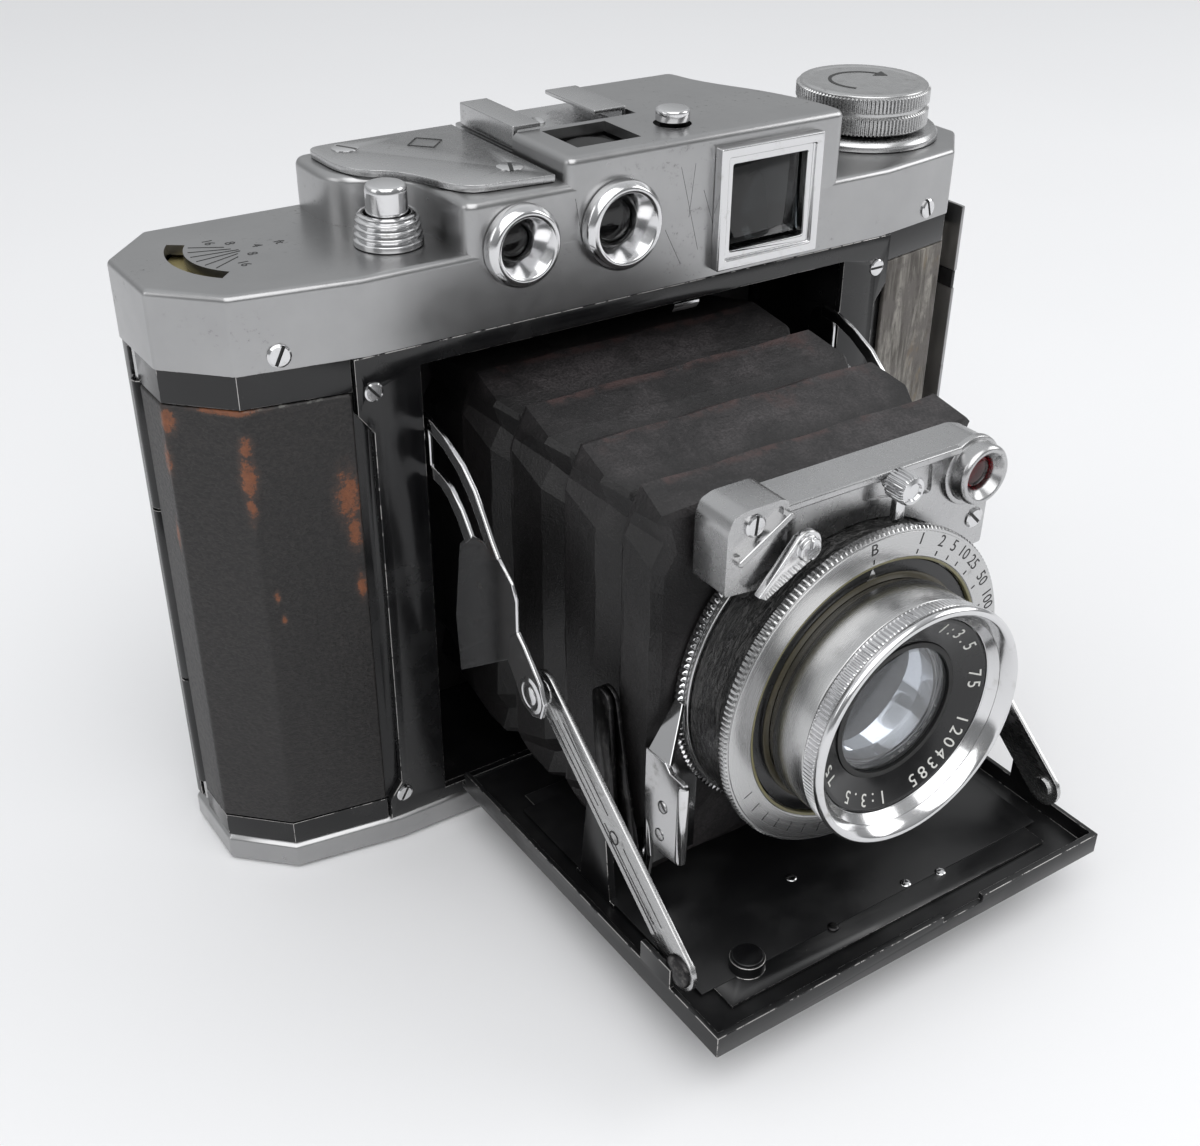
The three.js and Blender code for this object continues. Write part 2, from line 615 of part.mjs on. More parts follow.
// The film gate slides back and forth behind the bellows: the camera focuses by it.
function filmGate() {
  const plate = block(-34, 34, 24.8, 26, 8.6, 76.5);
  const picture = block(-GATE_HALF, GATE_HALF, 20, 30, LENS_Z - GATE_HALF, LENS_Z + GATE_HALF);
  // Beside the opening, room for the feet of the lens standard when the bed is closed.
  const footRoom = [-1, 1].map((side) => block(...mirrorX(side, GATE_HALF - 1, 30.9), 20, 30, 11.6, 34));
  return cut(plate, picture, ...footRoom);
}
add('film_gate', filmGate(), DARK_METAL);

// ---------------------------------------------------------------- drop bed
function dropBed() {
  const [front, rear] = [HINGE.y - BED_END, HINGE.y - 2.4];
  const sheet = block(-BED_HALF, BED_HALF, front, rear, BED_FLOOR - BED_SHEET, BED_FLOOR);
  const side = (x0, x1) => block(x0, x1, front, rear - 1, BED_FLOOR - 0.5, BED_WALL_TOP);
  const lip = cut(
    block(-BED_HALF, BED_HALF, front, front + BED_SHEET, BED_FLOOR - 0.5, BED_WALL_TOP),
    block(4.2, 12.2, front - 1, front + 2, 11.2, 14),
  );
  const ear = (x0, x1) => block(x0, x1, -60.5, -53.5, BED_WALL_TOP - 0.5, 15.6);
  const barrel = turnedAcross(disc(1.7, -12, 12), HINGE.y, HINGE.z, 12);
  const leaf = block(-12, 12, rear - 0.5, HINGE.y, BED_FLOOR - BED_SHEET + 0.1, BED_FLOOR + 0.2);
  const bore = turnedAcross(disc(0.9, -40, 40), HINGE.y, HINGE.z, 12);
  const tray = join(
    sheet, side(-BED_HALF, -BED_HALF + 0.8), side(BED_HALF - 0.8, BED_HALF), lip,
    ear(-BED_HALF, -BED_HALF + 0.8), ear(BED_HALF - 0.8, BED_HALF), barrel, leaf,
  );
  return cut(tray, bore);
}
add('drop_bed', dropBed(), BLACK);
add('bed_hinge_pin', turnedAcross(disc(0.7, -16, 16), HINGE.y, HINGE.z, 12), STEEL);

function hingeBracket() {
  const knuckle = (x0, x1) => cut(
    join(
      turnedAcross(disc(1.7, x0, x1), HINGE.y, HINGE.z, 12),
      block(x0, x1, HINGE.y, 4.4, 7.6, 9.6),
      block(x0, x1, -1, 1.4, 8.2, HINGE.z),
    ),
    turnedAcross(disc(0.9, -40, 40), HINGE.y, HINGE.z, 12),
  );
  return join(knuckle(-16, -12.4), knuckle(12.4, 16), block(-16, 16, 2.2, 4.4, 7.6, 8.8));
}
add('bed_hinge_bracket', hingeBracket(), DARK_METAL);

// The panel on the bed's floor carries a post for each rear link and a round boss.
function linkPost(side) {
  const section = outline([[-40, 9.9], [-32, 9.9], [-33.8, 26.4], [-38.2, 26.4]]);
  const pin = turnedAcross(disc(0.8, ...mirrorX(side, 31, 32.8)), LINK_POST.y, LINK_POST.z, 12);
  return join(extrudeAcross(section, ...mirrorX(side, 32.2, 33.4)), pin);
}

function bedPanel() {
  const top = BED_FLOOR + 0.6;
  const panel = block(-31, 31, -66.5, -12, BED_FLOOR + SEAT, top);
  const shelf = block(-33.4, 33.4, -41, -31, BED_FLOOR + SEAT, top);
  const boss = turnedUp(disc(2.6, top - 0.3, 12.2), -24.6, -61.6, 24);
  return join(panel, shelf, boss, linkPost(-1), linkPost(1));
}
add('bed_floor_panel', bedPanel(), BLACK);

// ---------------------------------------------------------------- fold linkage
// A flat bar with round ends between two pivots, in the plane across X.
function bar(from, to, width, left, right) {
  const angle = Math.atan2(to.z - from.z, to.y - from.y);
  const shape = new THREE.Shape();
  shape.absarc(to.y, to.z, width, angle - Math.PI / 2, angle + Math.PI / 2, false);
  shape.absarc(from.y, from.z, width, angle + Math.PI / 2, angle + 3 * Math.PI / 2, false);
  shape.closePath();
  return extrudeAcross(shape, left, right, 10);
}

for (const [side, name] of [[-1, 'left'], [1, 'right']]) {
  const [rear0, rear1] = mirrorX(side, 30.8, 31.6);
  const rearHole = turnedAcross(disc(1.1, rear0 - 1, rear1 + 1), LINK_POST.y, LINK_POST.z, 12);
  const [pin0, pin1] = mirrorX(side, 29.5, 31.2);
  add(`rear_link_${name}`, join(
    cut(bar(LINK_POST, LINK_ELBOW, 2.2, rear0, rear1), rearHole),
    turnedAcross(disc(0.8, pin0, pin1), LINK_ELBOW.y, LINK_ELBOW.z, 12),
  ), DARK_METAL);

  const [front0, front1] = mirrorX(side, 29.7, 30.4);
  add(`front_link_${name}`, cut(
    bar(LINK_ELBOW, LINK_LENS, 2.2, front0, front1),
    turnedAcross(disc(1.1, front0 - 1, front1 + 1), LINK_ELBOW.y, LINK_ELBOW.z, 12),
    turnedAcross(disc(1.1, front0 - 1, front1 + 1), LINK_LENS.y, LINK_LENS.z, 12),
  ), DARK_METAL);

  const [arm0, arm1] = mirrorX(side, 37.7, 38.5);
  const arm = new THREE.Shape();
  arm.moveTo(5.2, 72.6);
  arm.quadraticCurveTo(4.4, 75.2, 1.6, 74.2);
  arm.bezierCurveTo(-7, 71.5, -12.5, 65.5, -16, 58.5);
  arm.quadraticCurveTo(-22, 55, -24.6, 49);
  arm.lineTo(-30.2, 42.8);
  arm.quadraticCurveTo(-30.6, 39.4, -27.2, 38.8);
  arm.lineTo(-21.5, 44);
  arm.lineTo(-6, 34);
  arm.lineTo(-9, 52);
  arm.quadraticCurveTo(-4, 62, 2.4, 68);
  arm.quadraticCurveTo(5.4, 69.4, 5.2, 72.6);
  add(`upper_arm_${name}`, cut(
    extrudeAcross(arm, arm0, arm1, 8),
    turnedAcross(disc(1.3, arm0 - 1, arm1 + 1), ARM_PIVOT.y, ARM_PIVOT.z, 16),
  ), CHROME);

  const [strut0, strut1] = mirrorX(side, 35.4, 36.2);
  const [rivet0, rivet1] = mirrorX(side, 34.7, 36.4);
  add(`strut_${name}`, join(
    bar(STRUT_FOOT, ELBOW, 3.1, strut0, strut1),
    turnedAcross(disc(1.9, rivet0, rivet1), ELBOW.y, ELBOW.z, 12),
    turnedAcross(disc(1.9, rivet0, rivet1), STRUT_FOOT.y, STRUT_FOOT.z, 12),
  ), STEEL);
}

// ---------------------------------------------------------------- bellows
function bellows() {
  const [halfOut, halfIn] = [29, 26.2];
  const [high, low] = [76, 13.4];
  const pleats = [];
  const starts = [-6.6, -20.4, -34.2];
  for (const start of starts) {
    pleats.push(block(-halfOut, halfOut, start - 1.2, start + 9.4, low, high));
  }
  const core = block(-halfIn, halfIn, STANDARD_REAR + SEAT + 0.2, 24.4, low + 2.8, high - 2.8);
  const throat = block(-23, 23, STANDARD_REAR - 1, 26, LENS_Z - 24, LENS_Z + 24);
  return cut(join(core, ...pleats), throat);
}
add('bellows', bellows(), CLOTH);

// ---------------------------------------------------------------- lens standard
// The lens assembly is modelled round the optical axis, so its group stands at the axis.
const lens = new THREE.Group();
lens.position.set(0, 0, LENS_Z);
piece.add(lens);

const RED_EYE = { x: 20.4, z: 71.4 - LENS_Z };
const YOKE = {
  front: -50, left: -23.2, right: 25.2,
  high: 77 - LENS_Z, low: 65.2 - LENS_Z, step: 73.4 - LENS_Z,
};
const SHUTTER = { radius: 23.9, rear: -43.5, front: -52.6 };
const SPEED_RING = { outer: 25.2, inner: 20.6, rear: -52.8, front: -54.6 };

function standardPlate() {
  const round = turnedBack(disc(24.3, STANDARD_REAR - 1, STANDARD_REAR), 0, 0, ROUND);
  const legs = block(-29.2, 29.2, STANDARD_REAR - 1, STANDARD_REAR, -27, -6);
  const flange = (side) => {
    const [a, b] = mirrorX(side, 28.3, 29.2);
    const rear = STANDARD_REAR;
    return extrudeAcross(outline([
      [rear, -5.7], [-49.4, -9], [-51.2, -11], [-51.2, -21], [-49.2, -24], [-44.5, -28.6],
      [-37.6, -28.6], [-37.6, -24], [rear, -20],
    ]), a, b);
  };
  const pin = (side) => {
    const [a, b] = mirrorX(side, 29, 30.7);
    return turnedAcross(disc(0.8, a, b), LINK_LENS.y, LINK_LENS.z - LENS_Z, 12);
  };
  const throat = turnedBack(disc(16, -60, 0), 0, 0, 24);
  const waist = block(-21, 21, -60, 0, -40, -20.6);
  return cut(join(round, legs, flange(-1), flange(1), pin(-1), pin(1)), throat, waist);
}
add('lens_standard', standardPlate(), CHROME, lens);

function yoke() {
  const { front, left, right, high, low, step } = YOKE;
  const shape = new THREE.Shape();
  shape.moveTo(left, low);
  shape.lineTo(left, high - 2.4);
  shape.quadraticCurveTo(left, high, left + 2.4, high);
  shape.lineTo(right - 3.4, high);
  shape.quadraticCurveTo(right, high, right, high - 3.4);
  shape.lineTo(right, 13.6);
  shape.lineTo(21.4, 13.6);
  shape.closePath();
  const slab = extrudeBack(shape, front, STANDARD_REAR - 1.1, 6);
  const throat = turnedBack(disc(SHUTTER.radius + 0.3, -60, -30), 0, 0, ROUND);
  const recess = block(-13.6, 30, front - 1, front + 1.4, 5, step - 1.5);
  const eyeSeat = turnedBack(disc(4.7, -60, -48.2), RED_EYE.x, RED_EYE.z, 24);
  const stepDown = block(-13.6, 30, front - 1, -40, high - 1.2, high + 2);
  return cut(slab, throat, recess, stepDown, eyeSeat, ...YOKE_SCREWS.map(screwHole));
}

const YOKE_SCREWS = [
  { x: -18.6, y: -50, z: 74.6 - LENS_Z, facing: 'front' },
  { x: 23, y: -48.6, z: 62.6 - LENS_Z, facing: 'front' },
];
add('standard_yoke', yoke(), SATIN, lens);
add('rangefinder_eye_ring', turnedBack([
  [3, -48.4], [4.5, -48.7], [4.5, -51.9], [4.1, -52.4], [3.2, -52.4], [2.9, -51.6], [3, -48.4],
], RED_EYE.x, RED_EYE.z, 32), CHROME, lens);

add('shutter_body', turnedBack([
  [19.9, SHUTTER.front], [SHUTTER.radius, SHUTTER.front], [SHUTTER.radius, SHUTTER.rear],
  [12.6, SHUTTER.rear], [12.6, -45.6], [19.9, -45.6], [19.9, SHUTTER.front],
], 0, 0, ROUND), LEATHER, lens);
add('speed_ring', turnedBack(
  ring(SPEED_RING.inner, SPEED_RING.outer, SPEED_RING.front, SPEED_RING.rear), 0, 0, ROUND), SATIN, lens);
add('shutter_face_plate', turnedBack([
  [17.6, -53.9], [20.2, -53.9], [20.2, -52.9], [19.6, -52.9], [19.6, -46], [13, -46], [13, -47], [17.6, -47],
  [17.6, -53.9],
], 0, 0, ROUND), BLACK, lens);
add('lens_barrel', turnedBack([
  [13.2, -47.2], [17.3, -47.2], [17.3, -55.2], [17.9, -55.4], [17.9, -61.8], [15.2, -61.8], [15.2, -60],
  [13.2, -59], [13.2, -47.2],
], 0, 0, ROUND), SATIN, lens);
add('front_bezel', turnedBack([
  [15.4, -62], [18, -62], [18, -64.2], [18.5, -64.6], [18.5, -65.3], [18, -65.7], [17.4, -65.7],
  [16.4, -63.2], [15.4, -62.6], [15.4, -62],
], 0, 0, ROUND), CHROME, lens);
add('name_ring', turnedBack([
  [10.6, -59.3], [15, -61], [15, -62.4], [14.6, -62.4], [10.6, -60.4], [10.6, -59.3],
], 0, 0, ROUND), BLACK, lens);

function glassElement(radius, apex, rear, bulge) {
  const dome = new THREE.SphereGeometry(1, 24, 12);
  dome.scale(radius * 1.25, bulge, radius * 1.25).translate(0, apex + bulge, 0);
  return solid(dome).intersect(turnedBack(disc(radius, apex - 1, rear), 0, 0, 24));
}
add('front_element', glassElement(10.4, -60.6, -57.2, 8), GLASS, lens);
add('iris_blades', turnedBack(ring(6.2, 12.8, -50.6, -50.2), 0, 0, 40), DARK_METAL, lens);
add('rear_cell', turnedBack([
  [9.4, -47.6], [12.2, -47.6], [12.2, -41.6], [10.6, -40.4], [9.4, -40.4], [9.4, -47.6],
], 0, 0, 24), BLACK, lens);

function releaseLever() {
  const shape = new THREE.Shape();
  shape.absarc(-11.8, 25.8, 2.4, -0.9, Math.PI - 0.9, false);
  shape.lineTo(-19.4, 20.6);
  shape.lineTo(-18.2, 19.8);
  shape.closePath();
  const arm = extrudeBack(shape, -52.4, -51.2, 10);
  const stud = turnedBack(disc(1, -51.4, -50.3), -11.8, 25.8, 16);
  const head = turnedBack(disc(1.7, -53.2, -52.3), -11.8, 25.8, 20);
  const slot = block(-12.05, -11.55, -53.6, -52.8, 23, 29);
  return cut(join(arm, stud, head), slot);
}
add('release_lever', releaseLever(), CHROME, lens);

function cockingLever() {
  const stem = block(3.4, 5.6, -52.4, -51, 24.6, 30);
  const knurl = solid(turned(disc(2.6, -54.4, -50.4), 24).translate(4.5, 0, 30));
  return join(stem, knurl);
}
add('cocking_lever', cockingLever(), CHROME, lens);

// The lip of the bed and the window cover are the foremost and rearmost places.
const FOREMOST = HINGE.y - BED_END;
const REARMOST = DEPTH + DOOR_BACK;
piece.position.y = -(FOREMOST + REARMOST) / 2;

export default piece;
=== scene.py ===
# The looks of the folding camera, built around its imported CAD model. The scene is in metres; sizes
# in this file are in millimetres and go through at() or MM. Powers of lamps are in watts.
import json
import math
import random

import bmesh
import bpy
from mathutils import Matrix, Vector


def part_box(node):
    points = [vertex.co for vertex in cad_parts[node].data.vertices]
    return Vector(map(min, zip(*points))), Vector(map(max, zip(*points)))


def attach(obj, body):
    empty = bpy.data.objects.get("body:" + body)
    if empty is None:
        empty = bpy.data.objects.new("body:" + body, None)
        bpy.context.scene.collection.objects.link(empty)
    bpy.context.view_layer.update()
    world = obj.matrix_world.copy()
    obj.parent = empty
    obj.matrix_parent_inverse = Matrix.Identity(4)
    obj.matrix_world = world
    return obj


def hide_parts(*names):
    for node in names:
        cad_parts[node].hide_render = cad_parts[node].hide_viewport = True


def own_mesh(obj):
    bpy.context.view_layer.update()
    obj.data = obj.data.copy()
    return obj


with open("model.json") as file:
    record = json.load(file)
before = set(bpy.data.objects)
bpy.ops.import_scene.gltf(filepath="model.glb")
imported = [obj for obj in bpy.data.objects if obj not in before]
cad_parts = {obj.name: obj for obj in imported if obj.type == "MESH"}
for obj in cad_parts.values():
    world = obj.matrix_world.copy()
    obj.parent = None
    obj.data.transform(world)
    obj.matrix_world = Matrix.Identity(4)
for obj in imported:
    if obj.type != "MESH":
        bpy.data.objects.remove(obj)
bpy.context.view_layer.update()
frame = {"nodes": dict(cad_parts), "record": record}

MM = 0.001
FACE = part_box("top_housing")[0].y          # plane of the body's front face
LENS_Z = 44.4                              # height of the lens axis
RIGHT, BACK, UP, FRONT = (1, 0, 0), (0, 1, 0), (0, 0, 1), (0, -1, 0)
FOCUS = (-53.5, 18.4)                      # x and y of the focusing wheel
KNOB = (57.4, 19.1)                        # of the winding knob
RELEASE = (-37.5, 10.4)                    # and of the shutter release
RANGEFINDER = (-22.7, 96.8)                # x and z of the two round windows
WAIST_FINDER = (-5.9, 96.8)
RED_WINDOW = (-14, 30)
LOW_TOP, HIGH_TOP, STEP_TOP = 96.5, 107.3, 104.8   # levels of the housing
ARM_PIVOT, ELBOW, FOOT = (3, 71), (-27, 42.1), (-61, 15.5)   # y and z of the strut's pivots
SPEED_FACE = -54.6                         # y of the speed ring's printed face
CAMERA = "camera_body"                     # the body that most of the housing rides on
BODY_OF = {n: b for b, ns in frame["record"]["behaviour"]["bodies"].items() for n in ns}


def at(x, y, z):
    """A place given in millimetres from the middle of the body's front face, at table height."""
    return Vector((x * MM, FACE + y * MM, z * MM))


# ------------------------------------------------------------------ material building blocks
class Nodes:
    """A node tree, with short words for the nodes it is made of."""

    def __init__(self, tree):
        self.tree = tree

    def node(self, kind, **inputs):
        node = self.tree.nodes.new("ShaderNode" + kind)
        for key, value in inputs.items():
            self.feed(node.inputs[key], value)
        return node

    def feed(self, socket, value):
        if isinstance(value, bpy.types.NodeSocket):
            self.tree.links.new(value, socket)
        else:
            socket.default_value = value

    def math(self, operation, a, b=0.0):
        node = self.node("Math")
        node.operation = operation
        self.feed(node.inputs[0], a)
        self.feed(node.inputs[1], b)
        return node.outputs[0]

    def times(self, a, b):
        return self.math("MULTIPLY", a, b)

    def ramp(self, value, low, high, start=0.0, end=1.0):
        node = self.node("MapRange", Value=value)
        for key, number in zip(("From Min", "From Max", "To Min", "To Max"), (low, high, start, end)):
            node.inputs[key].default_value = number
        node.interpolation_type = "SMOOTHSTEP"
        return node.outputs[0]


class Finish(Nodes):
    """A material with a Principled shader."""

    def __init__(self, name, color=(0.5, 0.5, 0.5), **sockets):
        self.material = bpy.data.materials.new(name)
        self.material.use_nodes = True
        super().__init__(self.material.node_tree)
        self.shader = self.tree.nodes["Principled BSDF"]
        self.shader.inputs["Base Color"].default_value = (*color, 1)
        for socket, value in sockets.items():
            self.shader.inputs[socket.replace("_", " ")].default_value = value
        self.place = self.tree.nodes.new("ShaderNodeTexCoord").outputs["Object"]

    def stretch(self, x, y, z, turn=(0, 0, 0)):
        return self.node("Mapping", Vector=self.place, Scale=(x, y, z), Rotation=turn).outputs[0]

    def noise(self, scale, detail=3.0, roughness=0.55, place=None, distortion=0.0):
        node = self.node("TexNoise", Vector=place or self.place, Scale=scale, Detail=detail,
                         Roughness=roughness, Distortion=distortion)
        return node.outputs["Fac"]

    def spots(self, scale, detail, roughness, low, high):
        """Noise cut to patches: 0 below low, 1 above high."""
        return self.ramp(self.noise(scale, detail, roughness), low, high)

    def blend(self, share, a, b):
        node = self.node("Mix")
        node.data_type = "RGBA"
        self.feed(node.inputs[0], share)
        for socket, value in ((node.inputs[6], a), (node.inputs[7], b)):
            self.feed(socket, value if isinstance(value, bpy.types.NodeSocket) else (*value, 1))
        return node.outputs[2]

    def number(self, share, a, b):
        node = self.node("Mix")
        for socket, value in zip((0, 2, 3), (share, a, b)):
            self.feed(node.inputs[socket], value)
        return node.outputs[0]

    def color(self, value):
        self.feed(self.shader.inputs["Base Color"], value)

    def roughness(self, value):
        self.feed(self.shader.inputs["Roughness"], value)

    def bump(self, height, distance):
        node = self.node("Bump", Height=height, Distance=distance * MM, Strength=1.0)
        self.feed(node.inputs["Normal"], self.normal if hasattr(self, "normal") else (0, 0, 0))
        self.normal = node.outputs[0]
        self.tree.links.new(self.normal, self.shader.inputs["Normal"])

    def near(self, point, radius, squeeze):
        """1 at a place of the object, falling to 0 at radius (mm) away."""
        value = self.place
        for operation, operand in (("SUBTRACT", point), ("MULTIPLY", squeeze), ("LENGTH", None)):
            node = self.node("VectorMath")
            node.operation = operation
            self.feed(node.inputs[0], value)
            if operand is not None:
                node.inputs[1].default_value = operand
            value = node.outputs[0]
        return self.ramp(node.outputs["Value"], 0, radius * MM, 1, 0)

    def turned_marks(self):
        """Noise that runs in circles round the lens axis, like the marks of a lathe."""
        split = self.node("SeparateXYZ", Vector=self.place)
        height = self.math("SUBTRACT", split.outputs[2], LENS_Z * MM)
        radius = self.math("SQRT", self.math(
            "ADD", self.math("POWER", split.outputs[0], 2.0), self.math("POWER", height, 2.0)))
        angle = self.math("ARCTAN2", height, split.outputs[0])
        join = self.node("CombineXYZ", X=self.times(radius, MARKS_PER_METRE),
                         Y=self.times(split.outputs[1], MARKS_PER_METRE), Z=self.times(angle, 1.2))
        return self.noise(1.0, 2.0, 0.6, join.outputs[0])


MARKS_PER_METRE = 9000.0

# ------------------------------------------------------------------ the finishes
def satin_chrome(name="satin_chrome", tone=0.42, gloss=0.27):
    f = Finish(name, Metallic=1.0)
    cloud = f.noise(55, 5, 0.6)
    grime = f.spots(900, 6, 0.75, 0.56, 0.72)
    patches = f.spots(90, 3, 0.5, 0.45, 0.75)
    pits = f.times(grime, patches)
    base = f.blend(cloud, [tone * k for k in (0.76, 0.76, 0.77)], [tone * k for k in (1.08, 1.08, 1.08)])
    f.color(f.blend(f.times(pits, 0.75), base, (0.12, 0.115, 0.11)))
    rough = f.number(f.noise(420, 4, 0.6), gloss - 0.03, gloss + 0.09)
    f.roughness(f.number(pits, rough, 0.75))
    f.bump(f.noise(2600, 3, 0.6), 0.003)
    f.bump(pits, -0.006)
    return f.material


def bright_chrome(name="bright_chrome", tone=0.66, gloss=0.09):
    f = Finish(name, Metallic=1.0)
    stain = f.spots(260, 6, 0.7, 0.56, 0.74)
    f.color(f.blend(stain, (tone, tone, tone * 1.01), (tone * 0.72, tone * 0.71, tone * 0.69)))
    scratches = f.noise(1.0, 1, 0.4, f.stretch(900, 9000, 900, (0.5, 0.3, 0.9)))
    f.roughness(f.number(stain, f.number(scratches, gloss, gloss + 0.10), gloss + 0.22))
    f.bump(f.noise(500, 3, 0.5), 0.006)
    return f.material


def turned_aluminium(tone=0.52, gloss=0.20):
    f = Finish("turned_aluminium", Metallic=1.0)
    marks = f.turned_marks()
    stain = f.spots(300, 6, 0.7, 0.60, 0.74)
    base = f.blend(marks, [tone * 0.95] * 3, [tone * 1.05] * 3)
    f.color(f.blend(f.times(stain, 0.5), base, (0.22, 0.21, 0.20)))
    f.roughness(f.number(marks, gloss, gloss + 0.12))
    f.bump(marks, 0.002)
    return f.material


def brushed_steel(tone=0.50, gloss=0.20):
    f = Finish("brushed_steel", Metallic=1.0)
    lines = f.noise(1.0, 2, 0.5, f.stretch(600, 500, 6500, (0.65, 0, 0)))
    stain = f.spots(320, 6, 0.7, 0.57, 0.72)
    f.color(f.blend(f.times(stain, 0.6), f.blend(lines, [tone * 0.85] * 3, [tone * 1.15] * 3),
                    (0.13, 0.125, 0.12)))
    f.roughness(f.number(stain, f.number(lines, gloss, gloss + 0.14), 0.5))
    f.bump(lines, 0.005)
    return f.material


def dark_steel():
    f = Finish("dark_steel", Metallic=1.0)
    wear = f.spots(500, 5, 0.7, 0.50, 0.75)
    f.color(f.blend(wear, (0.035, 0.034, 0.035), (0.16, 0.155, 0.15)))
    f.roughness(f.number(wear, 0.34, 0.48))
    f.bump(f.noise(1500, 3, 0.5), 0.006)
    return f.material


def black_enamel(name="black_enamel", gloss=0.16, dust=0.35):
    f = Finish(name, Specular_IOR_Level=0.5)
    specks = f.spots(1500, 4, 0.75, 0.70, 0.78)
    film = f.spots(70, 5, 0.6, 0.40, 0.75)
    base = f.blend(film, (0.0045, 0.0045, 0.005), (0.012, 0.012, 0.0125))
    f.color(f.blend(f.times(specks, dust), base, (0.20, 0.19, 0.18)))
    f.roughness(f.number(film, gloss, gloss + 0.20))
    f.bump(f.noise(220, 2, 0.5), 0.006)
    f.bump(specks, 0.01)
    return f.material


def worn_edge(amount):
    """Enamel on an edge, rubbed through to bright metal in places."""
    f = Finish("worn_edge")
    rubbed = f.spots(240, 5, 0.7, 0.60 - 0.22 * amount, 0.68 - 0.22 * amount)
    f.color(f.blend(rubbed, (0.008, 0.008, 0.009), (0.42, 0.41, 0.40)))
    f.feed(f.shader.inputs["Metallic"], f.number(rubbed, 0.0, 1.0))
    f.roughness(f.number(rubbed, 0.22, 0.32))
    return f.material


def crackle_black():
    """The black wrinkled covering round the shutter."""
    f = Finish("crackle_black")
    wrinkle = f.noise(1.0, 3, 0.55, f.stretch(420, 1500, 420), 1.4)
    fine = f.noise(3200, 2, 0.5)
    # painted highlight and shade: the wrinkles' crests are coloured lighter, as glints, and their troughs
    # near black
    f.color(f.blend(f.ramp(wrinkle, 0.42, 0.64), (0.004, 0.004, 0.004), (0.042, 0.041, 0.040)))
    f.roughness(f.number(fine, 0.16, 0.30))
    f.bump(wrinkle, 1.4)
    f.bump(fine, 0.02)
    return f.material


WORN_PLACES = [          # place (mm), radius, how far it runs up and down
    ((-64.3, 3.0, 75.0), 1.3, 1.6),
    ((-64.5, 2.9, 70.5), 1.7, 2.6),
    ((-64.7, 2.9, 65.5), 1.2, 2.2),
    ((-62.6, 2.4, 51.0), 0.7, 2.2),
    ((-62.0, 2.4, 47.0), 0.6, 2.0),
    ((-51.2, 0.8, 65.0), 2.3, 2.4),
    ((-50.6, 0.6, 59.0), 1.4, 2.6),
    ((-50.3, 0.6, 50.0), 1.0, 2.8),
    ((-71.9, 10.6, 78.0), 1.8, 1.4),
    ((-72.2, 11.6, 72.0), 1.3, 2.6),
    ((-72.3, 12.0, 60.0), 0.8, 4.0),
    ((-66.0, 4.0, 80.2), 6.0, 0.12),
]


def worn_leather(name="worn_leather", worn=True):
    f = Finish(name)
    grain = f.noise(1.0, 4, 0.6, f.stretch(1500, 1500, 2500, (0, 0.5, 0)), 0.8)
    pebble = f.node("TexVoronoi", Vector=f.place, Scale=1300)
    pebble.feature = "SMOOTH_F1"
    base = f.blend(f.noise(45, 4, 0.6), (0.013, 0.0112, 0.0112), (0.026, 0.0225, 0.0215))
    base = f.blend(f.ramp(grain, 0.35, 0.7), [0.006, 0.0055, 0.0055], base)
    f.color(base)
    if worn:
        bare = None
        for place, radius, run in WORN_PLACES:
            spot = f.near(at(*place), radius * 1.7, (1, 1, 1 / run))
            bare = spot if bare is None else f.math("MAXIMUM", bare, spot)
        ragged = f.math("ADD", f.times(bare, 0.62), f.noise(900, 6, 0.8))
        halo = f.ramp(ragged, 0.62, 0.92)
        share = f.ramp(ragged, 0.88, 1.04)
        rust = f.blend(f.noise(1100, 4, 0.7), (0.045, 0.017, 0.010), (0.27, 0.088, 0.030))
        f.color(f.blend(share, f.blend(halo, base, (0.034, 0.022, 0.018)), rust))
        top_edge = f.near(at(-58, 1, 80.6), 14, (0.9, 0.9, 14))
        powder = f.times(f.ramp(top_edge, 0.30, 0.62), f.spots(700, 5, 0.75, 0.46, 0.62))
        f.color(f.blend(f.times(powder, 0.6), f.shader.inputs["Base Color"].links[0].from_socket,
                        (0.20, 0.20, 0.185)))
    f.roughness(f.number(grain, 0.60, 0.38))
    f.bump(grain, 0.13)
    f.bump(pebble.outputs["Distance"], 0.06)
    return f.material


def glue_residue():
    """Bare metal with old glue where the covering has come off."""
    f = Finish("glue_residue")
    streaks = f.noise(1.0, 6, 0.75, f.stretch(480, 480, 60), 0.5)
    blotch = f.noise(160, 5, 0.7)
    rust = f.ramp(f.noise(90, 4, 0.6, f.stretch(1, 1, 0.6)), 0.60, 0.72)
    base = f.blend(f.ramp(streaks, 0.38, 0.66), (0.060, 0.053, 0.046), (0.27, 0.255, 0.23))
    base = f.blend(f.ramp(blotch, 0.45, 0.62), base, (0.105, 0.095, 0.088))
    f.color(f.blend(f.times(rust, 0.6), base, (0.22, 0.14, 0.04)))
    f.roughness(f.number(streaks, 0.78, 0.52))
    f.bump(streaks, 0.14)
    f.bump(f.noise(1400, 4, 0.7), 0.06)
    return f.material


